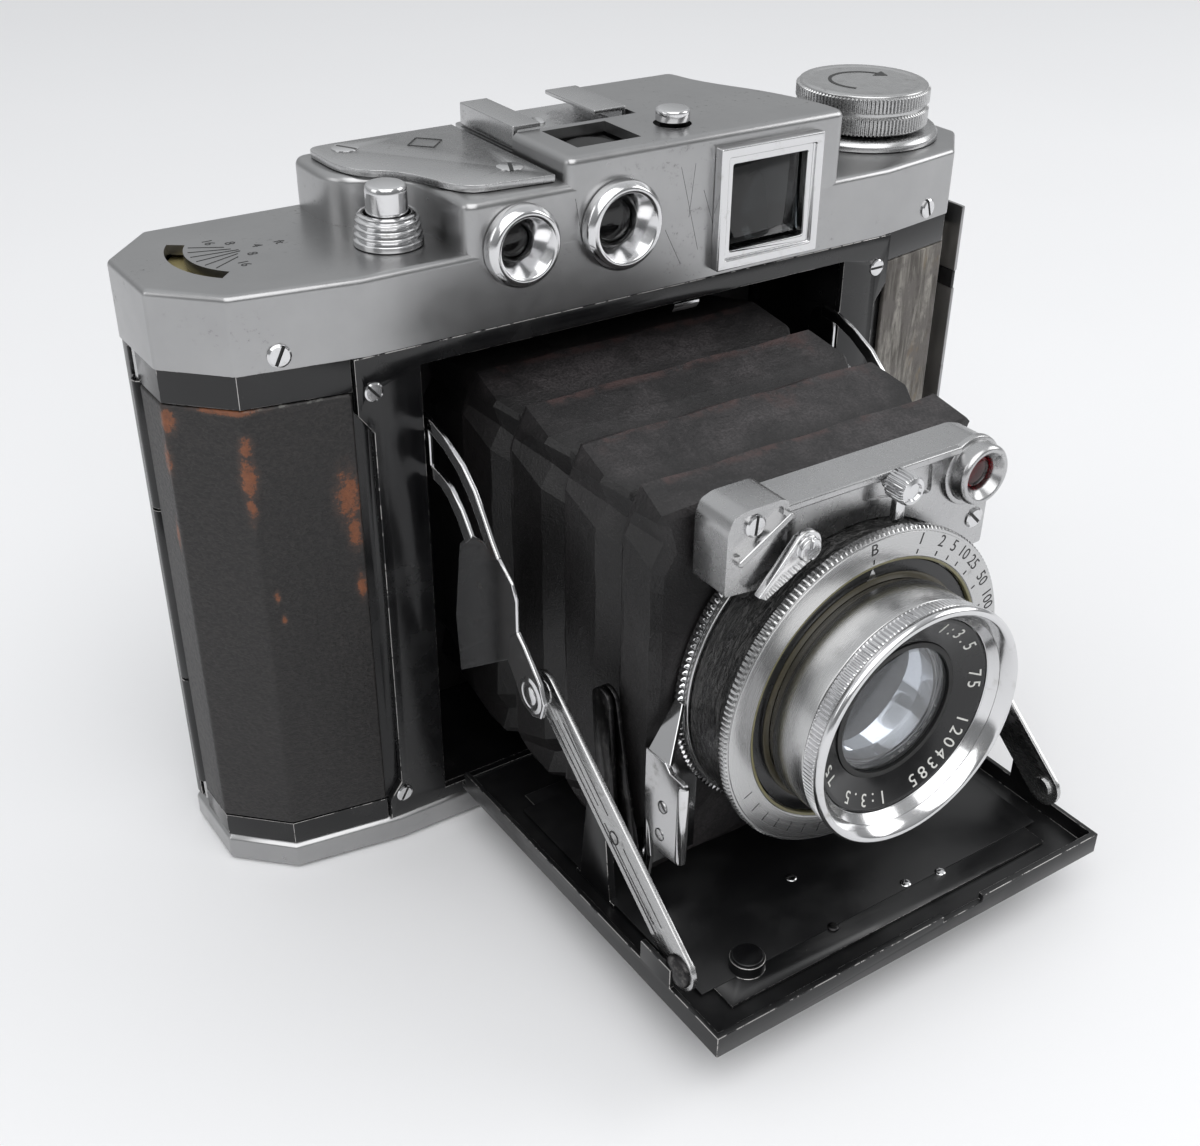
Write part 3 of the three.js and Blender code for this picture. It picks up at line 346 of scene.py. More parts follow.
def bellows_cloth():
    f = Finish("bellows_cloth")
    weave = f.noise(2600, 3, 0.6)
    smear = f.noise(70, 6, 0.68, distortion=0.5)
    # This attribute holds painted shade set when the bellows are built: 1 on a lit ridge, down to 0 in a dark
    # valley, and lower on the sides; it also marks the ridges where the cloth is rubbed.
    crease_shade = f.node("Attribute")
    crease_shade.attribute_name = "crease_shade"
    height = crease_shade.outputs["Fac"]
    fold = f.ramp(f.node("NewGeometry").outputs["Pointiness"], 0.515, 0.56)
    fold = f.math("MAXIMUM", fold, f.ramp(height, 0.90, 0.99))
    rub = f.times(fold, f.spots(320, 5, 0.7, 0.40, 0.62))
    base = f.blend(f.ramp(smear, 0.35, 0.72), (0.012, 0.011, 0.0117), (0.056, 0.050, 0.052))
    # painted shade: the cloth goes nearly black towards the valleys of the pleats and on the sides
    base = f.blend(f.ramp(height, 0.05, 0.70), (0.0025, 0.0022, 0.0023), base)
    wrinkle = f.noise(1.0, 5, 0.65, f.stretch(230, 360, 230), 0.8)
    # painted shade: the weave and the long wrinkles are darkened in colour, standing in for the shading that
    # their bumps give too faintly
    base = f.blend(f.number(f.ramp(weave, 0.38, 0.62), 0.0, 0.62), base, (0.0045, 0.0040, 0.0043))
    base = f.blend(f.number(f.ramp(wrinkle, 0.53, 0.62), 0.0, 0.30), base, (0.0040, 0.0036, 0.0038))
    dust = f.spots(1900, 3, 0.8, 0.66, 0.76)
    base = f.blend(f.times(dust, 0.6), base, (0.16, 0.15, 0.145))
    rub = f.times(rub, f.ramp(height, 0.55, 0.95))
    f.color(f.blend(f.times(rub, 0.7), base, (0.060, 0.033, 0.031)))
    f.roughness(f.number(smear, 0.62, 0.42))
    f.bump(weave, 0.09)
    f.bump(wrinkle, 0.15)
    return f.material


def glass(name, tint=(0.92, 0.94, 0.95), rough=0.0):
    f = Finish(name, tint, Transmission_Weight=1.0, IOR=1.52)
    f.roughness(f.ramp(f.noise(220, 5, 0.7), 0.55, 0.75, rough, rough + 0.06))
    return f.material


def coated_glass():
    f = Finish("coated_glass", (0.82, 0.84, 0.87), Transmission_Weight=1.0, IOR=1.48)
    f.roughness(f.ramp(f.noise(160, 5, 0.7), 0.60, 0.80, 0.0, 0.012))
    return f.material


def matt_black(name="matt_black", tone=0.008, rough=0.55):
    f = Finish(name)
    f.color(f.blend(f.noise(700, 4, 0.6), [tone * 0.7] * 3, [tone * 1.6] * 3))
    f.roughness(f.number(f.noise(300, 3, 0.5), rough - 0.08, rough + 0.1))
    f.bump(f.noise(2600, 2, 0.5), 0.01)
    return f.material


def painted(name, low, high, rough=0.5, scale=300):
    """A plain painted or printed surface with a little unevenness."""
    f = Finish(name)
    f.color(f.blend(f.noise(scale, 4, 0.6), low, high))
    f.roughness(f.number(f.noise(scale * 2, 3, 0.5), rough - 0.06, rough + 0.08))
    f.bump(f.noise(scale * 5, 2, 0.5), 0.008)
    return f.material


SATIN = satin_chrome()
PLATE_SATIN = satin_chrome("satin_plate", 0.52, 0.24)
CHROME = bright_chrome()
ALUMINIUM = turned_aluminium()
STEEL = brushed_steel()
DARK = dark_steel()
ENAMEL = black_enamel()
EDGE = worn_edge(0.75)
CRACKLE = crackle_black()
LEATHER = worn_leather()
LEATHER_SOUND = worn_leather("sound_leather", False)
GLUE = glue_residue()
CLOTH = bellows_cloth()
GLASS = glass("finder_glass")
COATED = coated_glass()
MATT = matt_black()
INK = matt_black("ink", 0.004, 0.4)
CREAM = painted("cream_scale", (0.24, 0.20, 0.09), (0.36, 0.31, 0.15), 0.5)
CREAM_INK = painted("pale_ink", (0.55, 0.55, 0.52), (0.70, 0.70, 0.67), 0.5)
RED = glass("red_glass", (0.30, 0.010, 0.016), 0.04)
POLISHED = bright_chrome("polished_plate", 0.30, 0.05)
SPOOL = matt_black("spool_black", 0.012, 0.28)
MIRROR = bright_chrome("mirror", 0.85, 0.03)
SMOKED = glass("smoked_glass", (0.16, 0.18, 0.19))
BED_BROWN = black_enamel("bed_enamel", 0.30, 0.55)
BRASSY = painted("brassy", (0.035, 0.030, 0.018), (0.075, 0.066, 0.042), 0.35)
OLIVE = painted("olive", (0.16, 0.145, 0.07), (0.26, 0.24, 0.13), 0.35)
BED_RIM = painted("bed_rim", (0.085, 0.080, 0.077), (0.150, 0.143, 0.137), 0.42, 200)


# ------------------------------------------------------------------ mesh building blocks
def shade(mesh, angle=32):
    """Smooth faces, with the edges sharper than angle (degrees) left hard."""
    bm = bmesh.new()
    bm.from_mesh(mesh)
    for face in bm.faces:
        face.smooth = True
    for edge in bm.edges:
        edge.smooth = not (edge.is_manifold and edge.calc_face_angle(0) > math.radians(angle))
    bm.to_mesh(mesh)
    bm.free()


def piece(name, mesh, body, materials, stands_for=()):
    thing = bpy.data.objects.new(name, mesh)
    bpy.context.scene.collection.objects.link(thing)
    mesh.materials.clear()
    for material in materials if isinstance(materials, (list, tuple)) else [materials]:
        mesh.materials.append(material)
    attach(thing, body)
    if stands_for:
        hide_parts(*stands_for)
    return thing


def from_bmesh(bm, name):
    bmesh.ops.recalc_face_normals(bm, faces=bm.faces)
    if all(edge.is_manifold for edge in bm.edges) and bm.calc_volume(signed=True) < 0:
        bmesh.ops.reverse_faces(bm, faces=bm.faces)
    mesh = bpy.data.meshes.new(name)
    bm.to_mesh(mesh)
    bm.free()
    return mesh


def modified(thing):
    """Applies a piece's modifiers to its mesh."""
    graph = bpy.context.evaluated_depsgraph_get()
    mesh = bpy.data.meshes.new_from_object(thing.evaluated_get(graph))
    old = thing.data
    thing.modifiers.clear()
    thing.data = mesh
    bpy.data.meshes.remove(old)


def bridge(bm, lower, upper):
    """A band of faces between two closed loops with the same number of points."""
    for k in range(len(lower)):
        j = (k + 1) % len(lower)
        bm.faces.new((lower[k], lower[j], upper[j], upper[k]))


def dome(radius, base, rise, steps):
    """Profile points that curve in from radius at base to the axis at base + rise."""
    turns = (math.pi / 2 * k / steps for k in range(1, steps))
    return [(radius * math.cos(a), base + rise * math.sin(a)) for a in turns] + [(0, base + rise)]


def soften(thing, width, segments=3, angle=28, edge_slot=None):
    bevel = thing.modifiers.new("bevel", "BEVEL")
    bevel.width = width * MM
    bevel.segments = segments
    bevel.limit_method = "ANGLE"
    bevel.angle_limit = math.radians(angle)
    bevel.use_clamp_overlap = True
    bevel.harden_normals = True
    bevel.miter_outer = "MITER_ARC"
    if edge_slot is not None:
        bevel.material = edge_slot
    modified(thing)


def carve(thing, cutters):
    """Cuts meshes from a piece."""
    for number, mesh in enumerate(cutters):
        tool = bpy.data.objects.new(f"tool_{number}", mesh)
        bpy.context.scene.collection.objects.link(tool)
        step = thing.modifiers.new(tool.name, "BOOLEAN")
        step.object = tool
        step.operation = "DIFFERENCE"
        step.solver = "EXACT"
    tools = [step.object for step in thing.modifiers]
    modified(thing)
    for tool in tools:
        bpy.data.objects.remove(tool)


def refine(node, materials, width, segments, angle=28, edge_slot=None, name=None, outer=None):
    """A fine copy of a CAD node: the same faces, with its edges rounded. outer(centre, normal)
    picks the faces that take the last material."""
    bm = bmesh.new()
    bm.from_mesh(frame["nodes"][node].data)
    bmesh.ops.remove_doubles(bm, verts=bm.verts, dist=2e-6)
    bmesh.ops.dissolve_limit(bm, angle_limit=math.radians(0.6), verts=bm.verts, edges=bm.edges)
    for face in bm.faces:
        face.smooth = True
        centre = face.calc_center_median()
        centre.y -= FACE
        chosen = outer and outer(centre / MM, face.normal)
        face.material_index = len(materials) - 1 if chosen else 0
    mesh = from_bmesh(bm, node)
    thing = piece(name or node + "_fine", mesh, BODY_OF[node], materials, [node])
    soften(thing, width, segments, angle, edge_slot)


def ring(*points):
    """A closed profile."""
    return [*points, points[0]]


def rounded(profile, radius=0.25, steps=3):
    """Rounds the corners of an open or closed profile of (r, h) points."""
    closed = profile[0] == profile[-1]
    points = [Vector(p[:2]) for p in (profile[:-1] if closed else profile)]
    result = []
    for i, corner in enumerate(points):
        if not closed and i in (0, len(points) - 1):
            result.append(tuple(corner))
            continue
        before, after = points[i - 1], points[(i + 1) % len(points)]
        into, out = before - corner, after - corner
        reach = min(radius, 0.45 * into.length, 0.45 * out.length)
        if into.angle(out, math.pi) > math.radians(165) or reach < 0.01:
            result.append(tuple(corner))
            continue
        start, end = corner + into.normalized() * reach, corner + out.normalized() * reach
        for k in range(steps + 1):
            t = k / steps
            result.append(tuple(start * (1 - t) ** 2 + corner * 2 * t * (1 - t) + end * t * t))
    if closed:
        result.append(result[0])
    return result


def lathe_mesh(name, profile, segments=96, centre=None, direction=(0, 1, 0), teeth=None):
    """Turns (radius, height) points, in millimetres, about an axis through centre.
    teeth = (count, depth, from_height, to_height) cuts straight knurling there."""
    axis = Vector(direction).normalized()
    side = axis.orthogonal().normalized()
    other = axis.cross(side)
    centre = centre or at(0, 0, LENS_Z)
    closed = profile[0] == profile[-1]
    rows = profile[:-1] if closed else profile
    if teeth:
        segments = teeth[0] * 4
    bm = bmesh.new()
    rings = []
    for radius, height in rows:
        if radius < 1e-4:
            rings.append([bm.verts.new(centre + axis * height * MM)])
            continue
        circle = []
        for k in range(segments):
            r = radius
            cut = teeth and teeth[2] <= height <= teeth[3] and radius > (teeth[4:] or (0,))[0]
            if cut and k % 4 in (2, 3):
                r = radius - teeth[1]
            a = math.tau * k / segments
            circle.append(bm.verts.new(
                centre + (axis * height + (side * math.cos(a) + other * math.sin(a)) * r) * MM))
        rings.append(circle)
    pairs = list(zip(rings, rings[1:])) + ([(rings[-1], rings[0])] if closed else [])
    for lower, upper in pairs:
        if len(lower) == len(upper):
            if len(lower) > 1:
                bridge(bm, lower, upper)
            continue
        for k in range(segments):
            j = (k + 1) % segments
            if len(lower) == 1:
                bm.faces.new((lower[0], upper[j], upper[k]))
            else:
                bm.faces.new((lower[k], lower[j], upper[0]))
    mesh = from_bmesh(bm, name)
    shade(mesh, 34)
    return mesh


def turned(name, profile, body, material, node=None, slot=None, radius=0.25, steps=3, **how):
    mesh = lathe_mesh(name, rounded(profile, radius, steps) if radius else profile, **how)
    stands_for = [node] if node else ()
    return piece(name, mesh, body, material, stands_for)


def joined(name, things, body, stands_for=()):
    """Several pieces as one."""
    mesh = bpy.data.meshes.new(name)
    bm = bmesh.new()
    materials = []
    for thing in things:
        offset = []
        for material in thing.data.materials:
            if material not in materials:
                materials.append(material)
            offset.append(materials.index(material))
        part = thing.data.copy()
        for polygon in part.polygons:
            polygon.material_index = offset[polygon.material_index] if offset else 0
        part.transform(thing.matrix_world)
        bm.from_mesh(part)
        bpy.data.objects.remove(thing)
    bm.to_mesh(mesh)
    bm.free()
    return piece(name, mesh, body, materials, stands_for)


def prism_mesh(name, outline, thickness, place, u, v):
    """A flat plate: outline points (mm) along u and v from place, thickness along u x v."""
    u, v = Vector(u).normalized(), Vector(v).normalized()
    n = u.cross(v)
    bm = bmesh.new()
    base = [bm.verts.new(place + (u * a + v * b) * MM) for a, b in outline]
    face = bm.faces.new(base)
    result = bmesh.ops.extrude_face_region(bm, geom=[face])
    verts = [g for g in result["geom"] if isinstance(g, bmesh.types.BMVert)]
    bmesh.ops.translate(bm, verts=verts, vec=n * thickness * MM)
    mesh = from_bmesh(bm, name)
    shade(mesh, 40)
    return mesh


def arc(cx, cy, r, start, end, steps=10):
    """Points of an arc, angles in degrees."""
    return [(cx + r * math.cos(math.radians(start + (end - start) * k / steps)),
             cy + r * math.sin(math.radians(start + (end - start) * k / steps)))
            for k in range(steps + 1)]


def capsule(a, b, width):
    """Outline of a bar with round ends from a to b."""
    angle = math.degrees(math.atan2(b[1] - a[1], b[0] - a[0]))
    return arc(*b, width, angle - 90, angle + 90, 8) + arc(*a, width, angle + 90, angle + 270, 8)


def screw(name, place, direction, radius, body, slot_turn, rise=0.45):
    """A slotted cheese-head screw whose head's base lies at place."""
    axis = Vector(direction).normalized()
    side = Matrix.Rotation(math.radians(slot_turn), 3, axis) @ axis.orthogonal().normalized()
    other = axis.cross(side)
    half = radius * 0.15
    depth = rise * 0.75
    bm = bmesh.new()
    for sign in (-1, 1):
        # one half of the head on each side of the slot
        edge = math.degrees(math.asin(half / radius))
        rim = arc(0, 0, radius, edge, 180 - edge, 20)
        crown = [(x * 0.80, half + (y - half) * 0.80) for x, y in rim]
        rows = []
        for points, height in ((rim, -0.6), (rim, rise * 0.55), (crown, rise)):
            rows.append([bm.verts.new(place + (side * x + other * sign * y + axis * height) * MM)
                         for x, y in points])
        for low, high in zip(rows, rows[1:]):
            for k in range(len(low) - 1):
                bm.faces.new((low[k], low[k + 1], high[k + 1], high[k]))
            bm.faces.new((low[-1], low[0], high[0], high[-1]))
        bm.faces.new(rows[-1])
    line(name + "_slot", place + (side * -0.9 * radius + axis * rise * 0.3) * MM,
         place + (side * 0.9 * radius + axis * rise * 0.3) * MM, half * 1.9, axis, body, INK, 0.02)
    floor_half = half * 1.02
    floor = [(radius * 0.97, -floor_half), (radius * 0.97, floor_half),
             (-radius * 0.97, floor_half), (-radius * 0.97, -floor_half)]
    bm.faces.new([bm.verts.new(place + (side * x + other * y + axis * (rise - depth)) * MM)
                  for x, y in floor])
    mesh = from_bmesh(bm, name)
    shade(mesh, 25)
    return piece(name, mesh, body, CHROME)


def rivet(name, place, direction, radius, body, rise, material=None):
    profile = [(radius, -0.3), (radius, rise * 0.25)] + dome(radius, rise * 0.25, rise * 0.75, 6)
    return piece(name, lathe_mesh(name, profile, 32, place, direction), body, material or CHROME)


def lettering(name, text, size, place, right, up, body, material, depth=0.05):
    """Plain figures standing a hair's breadth proud of a surface."""
    curve = bpy.data.curves.new(name, "FONT")
    curve.body = text
    curve.size = size * MM
    curve.extrude = depth * MM / 2
    curve.align_x = "CENTER"
    curve.align_y = "CENTER"
    curve.resolution_u = 3
    right, up = Vector(right).normalized(), Vector(up).normalized()
    holder = bpy.data.objects.new(name, curve)
    bpy.context.scene.collection.objects.link(holder)
    bpy.context.view_layer.update()
    graph = bpy.context.evaluated_depsgraph_get()
    mesh = bpy.data.meshes.new_from_object(holder.evaluated_get(graph))
    bpy.data.objects.remove(holder)
    turn = Matrix((right, up, right.cross(up))).transposed().to_4x4()
    mesh.transform(Matrix.Translation(place) @ turn)
    return piece(name, mesh, body, material)


def line(name, a, b, width, normal, body, material, rise=0.04):
    """A thin engraved or printed line between two places."""
    along = (b - a).normalized()
    across = Vector(normal).normalized().cross(along)
    length = (b - a).length / MM
    outline = [(0, -width / 2), (length, -width / 2), (length, width / 2), (0, width / 2)]
    mesh = prism_mesh(name, outline, rise, a, along, across)
    return piece(name, mesh, body, material)


# ------------------------------------------------------------------ top housing
def quad(start, pull, end, steps=10):
    """Points of a curve from start to end that is drawn towards pull."""
    return [tuple(start[i] * (1 - t) ** 2 + 2 * pull[i] * t * (1 - t) + end[i] * t * t for i in (0, 1))
            for t in (k / steps for k in range(1, steps + 1))]


REAR = 32.8
RIGHT_STEP = ([(36.4, 0), (36.4, 4)] + quad((36.4, 4), (35, 13), (31, 20))
              + quad((31, 20), (27, 27), (26.5, REAR))[:-4] + [(26.5, REAR)])
LOW_PLAN = [(-47, 0), (47, 0), (64.5, 2.9), (72.5, 10.9), (72.5, 24.4), (64.6, REAR), (-64.6, REAR),
            (-72.5, 24.4), (-72.5, 10.9), (-64.5, 2.9)]
MID_PLAN = ([(-31, 0), (-10.9, 0), (-10.9, REAR), (-39, REAR)]
            + quad((-39, REAR), (-41.5, REAR), (-41.5, 30), 6) + [(-41.5, 25)]
            + quad((-41.5, 25), (-41.3, 19.5), (-37, 18.2))
            + quad((-37, 18.2), (-31, 16.6), (-31, 10)))
HIGH_PLAN = [(-14.6, 0)] + RIGHT_STEP + [(-14.6, REAR)]


def inset(points, distance):
    """A closed outline (anticlockwise) moved inwards."""
    result = []
    for k, point in enumerate(points):
        here = Vector(point)
        a = (here - Vector(points[k - 1])).normalized()
        b = (Vector(points[(k + 1) % len(points)]) - here).normalized()
        normal = Vector((-(a.y + b.y), a.x + b.x)).normalized()
        reach = distance / max(0.5, normal.dot(Vector((-a.y, a.x))))
        result.append(tuple(here + normal * reach))
    return result


def slab_mesh(name, points, low, high, round_top, corner, steps=8):
    """An upright slab over an outline, with a rounded top edge."""
    points = rounded(points + [points[0]], corner, 4)[:-1]
    levels = [(0, low)]
    for k in range(steps + 1):
        a = math.pi / 2 * k / steps
        levels.append((round_top * (1 - math.cos(a)), high - round_top * (1 - math.sin(a))))
    bm = bmesh.new()
    rings = [[bm.verts.new(at(x, y, z)) for x, y in inset(points, d)] for d, z in levels]
    for lower, upper in zip(rings, rings[1:]):
        bridge(bm, lower, upper)
    bm.faces.new(list(reversed(rings[0])))
    bm.faces.new(rings[-1])
    mesh = from_bmesh(bm, name)
    shade(mesh, 40)
    return mesh


def drum(x, z, radius, front, rear, segments=64):
    return lathe_mesh("drum", [(0, front), (radius, front), (radius, rear), (0, rear)], segments,
                      at(x, 0, z))


def post(x, y, radius, low, high):
    return lathe_mesh("post", [(0, low), (radius, low), (radius, high), (0, high)], 48, at(x, y, 0), UP)


def brick(x0, x1, y0, y1, z0, z1):
    return box_mesh("brick", at(x0, y0, z0), at(x1, y1, z1))


def upright(outline, low, high):
    """A plain prism over an outline in x and y."""
    return prism_mesh("upright", outline, high - low, at(0, 0, low), RIGHT, BACK)


def box_mesh(name, low, high, bevel=0.0):
    bm = bmesh.new()
    bmesh.ops.create_cube(bm, size=1)
    size = high - low
    for vert in bm.verts:
        vert.co = low + Vector((vert.co[i] + 0.5) * size[i] for i in range(3))
    if bevel:
        bmesh.ops.bevel(bm, geom=list(bm.edges), offset=bevel * MM, segments=2, profile=0.5,
                        affect="EDGES", clamp_overlap=True)
    mesh = from_bmesh(bm, name)
    shade(mesh, 40)
    return mesh


WINDOW_ARC = arc(*FOCUS, 12.4, 145.5, 225.7, 24) + arc(*FOCUS, 9.9, 225.7, 145.5, 24)
HOUSING_CUTS = [
    lambda: upright(inset(LOW_PLAN, 1.4), 84.5, 95.1),
    lambda: brick(-28.5, 26.5, 1.4, 31.4, 84.4, 101.9),
    lambda: brick(-12.6, 26.5, 1.5, 14.4, 84.3, 105.8),
    lambda: brick(26, 34, 1.45, 9, 84.2, 105.7),
    lambda: brick(-15.6, 7.2, 14.9, 33.8, 104.6, 108.3),
    lambda: upright(WINDOW_ARC, 93.5, 97.5),
    lambda: drum(*RANGEFINDER, 4.4, -1, 3),
    lambda: drum(*WAIST_FINDER, 5.2, -1, 3),
    lambda: drum(20.5, 96, 3.6, 29.8, 33.8),
    lambda: brick(13.2, 29, -1, 3, 88.6, 103.2),
    lambda: brick(-10.4, 0.6, 4.1, 13.6, 104, 108.3),
    lambda: post(8.7, 7.6, 2.9, 90, 108.3),
    lambda: post(*RELEASE, 3.9, 90, 97.5),
    lambda: post(*KNOB, 3.4, 90, 97.5),
]
tiers = []
for name, plan, low, high, edge, corner in (("low_tier", LOW_PLAN, 85.5, LOW_TOP, 0.9, 0.5),
                                            ("middle_tier", MID_PLAN, 95.6, 103.7, 1.2, 2.1),
                                            ("high_tier", HIGH_PLAN, 95.6, HIGH_TOP, 1.1, 1.6)):
    tier = piece(name, slab_mesh(name, plan, low, high, edge, corner), CAMERA, SATIN)
    # the middle tier ends inside the high one, so the finder's chamber leaves it alone
    for cut in HOUSING_CUTS[:2] + HOUSING_CUTS[2 + (plan is MID_PLAN):]:
        carve(tier, [cut()])
    tiers.append(tier)
housing = joined("top_housing_fine", tiers, CAMERA, ["top_housing"])
shade(housing.data, 33)
refine("step_cover_plate", [PLATE_SATIN], 0.22, 3)
refine("accessory_shoe", [PLATE_SATIN], 0.45, 4)
refine("viewfinder_frame", [CHROME], 0.75, 5, 40)
refine("knob_base_ring", [PLATE_SATIN], 0.1, 2)

for k, (x0, z0, x1, z1) in enumerate((
        (5.0, 103.2, 8.6, 90.2), (7.6, 103.4, 6.7, 95.5), (9.3, 99.2, 12.0, 91.8),
        (-13.4, 101.6, -12.2, 95.2), (2.4, 94.3, 5.4, 88.6))):
    line(f"housing_scratch_{k}", at(x0, 0.01, z0), at(x1, 0.01, z1), 0.07, FRONT, CAMERA, DARK,
         0.012)

# collar and button of the shutter release
collar = [(3.3, 94.2), (3.7, 94.2), (3.7, 96.6), (4.9, 96.6)]
for ridge in range(4):
    z = 97.1 + ridge * 0.95
    collar += [(4.9 - ridge * 0.14, z), (4.9 - ridge * 0.14, z + 0.3), (4.4 - ridge * 0.14, z + 0.55)]
collar += [(4.2, 100.9), (3.8, 101), (3.3, 101), (3.3, 94.2)]
RELEASE_AT = at(*RELEASE, 0)
turned("release_collar_fine", collar, CAMERA, CHROME, "release_collar", radius=0.12,
       centre=RELEASE_AT, direction=UP, segments=72)
turned("release_button_fine",
       [(0, 90), (1.6, 90), (1.6, 95.5), (2.95, 95.5), (2.95, 104.2), (2.7, 104.9), (0, 105.1)],
       "release_button", CHROME, "shutter_release_button", radius=0.55, steps=5,
       centre=RELEASE_AT, direction=UP, segments=64)

refine("bed_release_button", [CHROME], 0.12, 2, name="bed_catch_fine")

# window rings with what is behind them
def window(name, node, x, z, hole, radius):
    centre = at(x, 0, z)
    profile = [(hole - 0.2, 2.6), (hole - 0.2, -0.1), (radius, -0.1), (radius, -1.6),
               (radius - 0.8, -2.6), (radius - 1.5, -2.6), (hole - 1.9, 0.6), (hole - 1.9, 2.6),
               (hole - 0.2, 2.6)]
    turned(name + "_ring_fine", profile, CAMERA, CHROME, node, radius=0.35, steps=4,
           centre=centre)
    bore = hole - 1.9
    cup = [(bore - 0.02, 2.5), (bore + 0.9, 2.7), (bore + 0.9, 6.5), (0, 6.5), (0, 6.3), (bore + 0.7, 6.3),
           (bore + 0.7, 2.9), (bore - 0.02, 2.7), (bore - 0.02, 2.5)]
    turned(name + "_cup", cup, CAMERA, MATT, radius=0, centre=centre, segments=48)
    bulge = [(bore - 0.05, 2.2), (bore - 0.05, 1.7)] + dome(bore - 0.05, 1.7, -0.75, 8) + [(0, 2.2)]
    turned(name + "_glass", bulge, CAMERA, COATED, radius=0, centre=centre, segments=64,
           slot="clear_glass")


window("rangefinder_window", "rangefinder_window_ring", *RANGEFINDER, 4.4, 5.9)
window("waist_finder", "waist_finder_ring", *WAIST_FINDER, 5.2, 6.6)


def box_piece(name, low, high, body, material, bevel=0.15, stands_for=()):
    return piece(name, box_mesh(name, at(*low), at(*high), bevel), body, material, stands_for)


# viewfinder: dark glass in a black throat
box_piece("viewfinder_glass_fine", (14.2, 0.6, 89.6), (28.0, 1.8, 102.2), CAMERA, SMOKED, 0.2,
          ["viewfinder_glass"])
throat = [box_piece("throat", low, high, CAMERA, MATT, 0.05) for low, high in (
    ((14.0, 2.2, 89.2), (14.4, 9, 102.6)), ((27.8, 2.2, 89.2), (28.2, 9, 102.6)),
    ((14.2, 2.2, 89.2), (28.0, 9, 89.6)), ((14.2, 2.2, 102.2), (28.0, 9, 102.6)),
    ((14.0, 8.8, 89.2), (28.2, 9.2, 102.6)))]
joined("viewfinder_throat", throat, CAMERA)

# the waist-level finder's top window
pane = [box_piece("pane", (-10.2, 4.3, 104.2), (0.4, 13.4, 105.3), CAMERA, MATT, 0.1)]
bulge = [(0, 104.9), (4.3, 104.9), (4.3, 105.35)] + dome(4.3, 105.35, 0.95, 8)
pane.append(turned("bulge", bulge, CAMERA, COATED, radius=0, segments=64,
                   centre=at(-4.9, 8.85, 0), direction=UP))
joined("waist_top_lens_fine", pane, CAMERA, ["waist_finder_top_lens"])

# screws of the housing
facet = math.atan2(2.9, 17.5)
for side, word, turn in ((-1, "left", 20), (1, "right", 65)):
    screw(f"screw_housing_{word}", at(side * 58.6, 1.93, 87.6),
          (side * math.sin(facet), -math.cos(facet), 0), 1.65, CAMERA, turn)
for word, place, radius, turn, rise in (("step_rear", (-34.8, 28.2, STEP_TOP), 2.0, 75, 0.2),
                                        ("step_front", (-18.9, 8.4, STEP_TOP), 2.0, 20, 0.2),
                                        ("shoe", (-5.4, 24, 105.5), 1.8, 40, 0.35)):
    screw(f"screw_{word}", at(*place), UP, radius, CAMERA, turn, rise)
for side in (-1, 1):
    for z in (80.2, 9.6):
        screw(f"screw_plate_{'left' if side < 0 else 'right'}_{'high' if z > 50 else 'low'}",
              at(side * 46.4, 0, z), FRONT, 1.4, CAMERA, 30 + side * 25 + z, rise=0.3)

# ------------------------------------------------------------------ winding knob
knob_at = at(*KNOB, 0)


def knob_part(name, profile, teeth=None, radius=0.15):
    mesh = lathe_mesh(name, rounded(profile, radius, 3) if radius else profile, 160, knob_at, UP, teeth)
    return piece(name, mesh, "winding", STEEL)


knob = [
    knob_part("knob_low", [(0, 98.6), (10.9, 98.6), (11.4, 98.9), (11.4, 101.3), (10.9, 101.6), (0, 101.6)],
              (104, 0.42, 98.85, 101.35), 0),
    knob_part("knob_waist", [(0, 101.4), (10.7, 101.4), (10.7, 102.4), (0, 102.4)]),
    knob_part("knob_high", [(0, 102.2), (10.9, 102.2), (11.4, 102.5), (11.4, 104.5), (10.9, 104.8),
                            (0, 104.8)], (104, 0.42, 102.45, 104.55), 0),
    knob_part("knob_top", [(0, 104.5), (11.0, 104.5), (11.0, 105.0), (10.5, 105.3), (9.6, 105.25),
                           (9.2, 105.1), (0, 105.1)], None, 0.2),
    knob_part("knob_shaft", [(0, 77), (2.8, 77), (2.8, 98.8), (0, 98.8)]),
]
joined("winding_knob_fine", knob, "winding", ["winding_knob"])
arrow = arc(0, 0, 6.1, 25, 215, 28) + arc(0, 0, 5.5, 215, 25, 28)
piece("knob_arrow", prism_mesh("knob_arrow", arrow, 0.05, at(*KNOB, 105.1), RIGHT, BACK),
      "winding", INK)
tip = [(5.8 * math.cos(math.radians(a)) + dx, 5.8 * math.sin(math.radians(a)) + dy)
       for a, dx, dy in ((4, 0, 0), (27, 1.6, 0.5), (27, -1.6, -0.9))]
piece("knob_arrow_tip", prism_mesh("knob_arrow_tip", tip, 0.05, at(*KNOB, 105.1), RIGHT, BACK),
      "winding", INK)

# ------------------------------------------------------------------ focus window and its scales
FOCUS_AXIS = {"centre": at(*FOCUS, 0), "direction": UP}
wheel = [
    turned("wheel_rim", [(0, 88.2), (15.2, 88.2), (15.6, 88.5), (15.6, 91.5), (15.2, 91.8), (0, 91.8)],
           "focusing", CHROME, radius=0, teeth=(120, 0.35, 88.35, 91.65), **FOCUS_AXIS),
    turned("wheel_shaft", [(0, 86), (2.4, 86), (2.4, 93), (0, 93)], "focusing", CHROME, radius=0,
           segments=48, **FOCUS_AXIS),
]
joined("focus_wheel_fine", wheel, "focusing", ["focus_wheel"])
turned("focus_disc_fine", [(0, 93.1), (12.7, 93.1), (12.7, 94.2), (0, 94.2)], "focusing", CREAM,
       "focus_scale_disc", radius=0.15, segments=120, **FOCUS_AXIS)


def on_disc(angle, radius, z):
    a = math.radians(angle)
    return at(FOCUS[0] + radius * math.cos(a), FOCUS[1] + radius * math.sin(a), z)


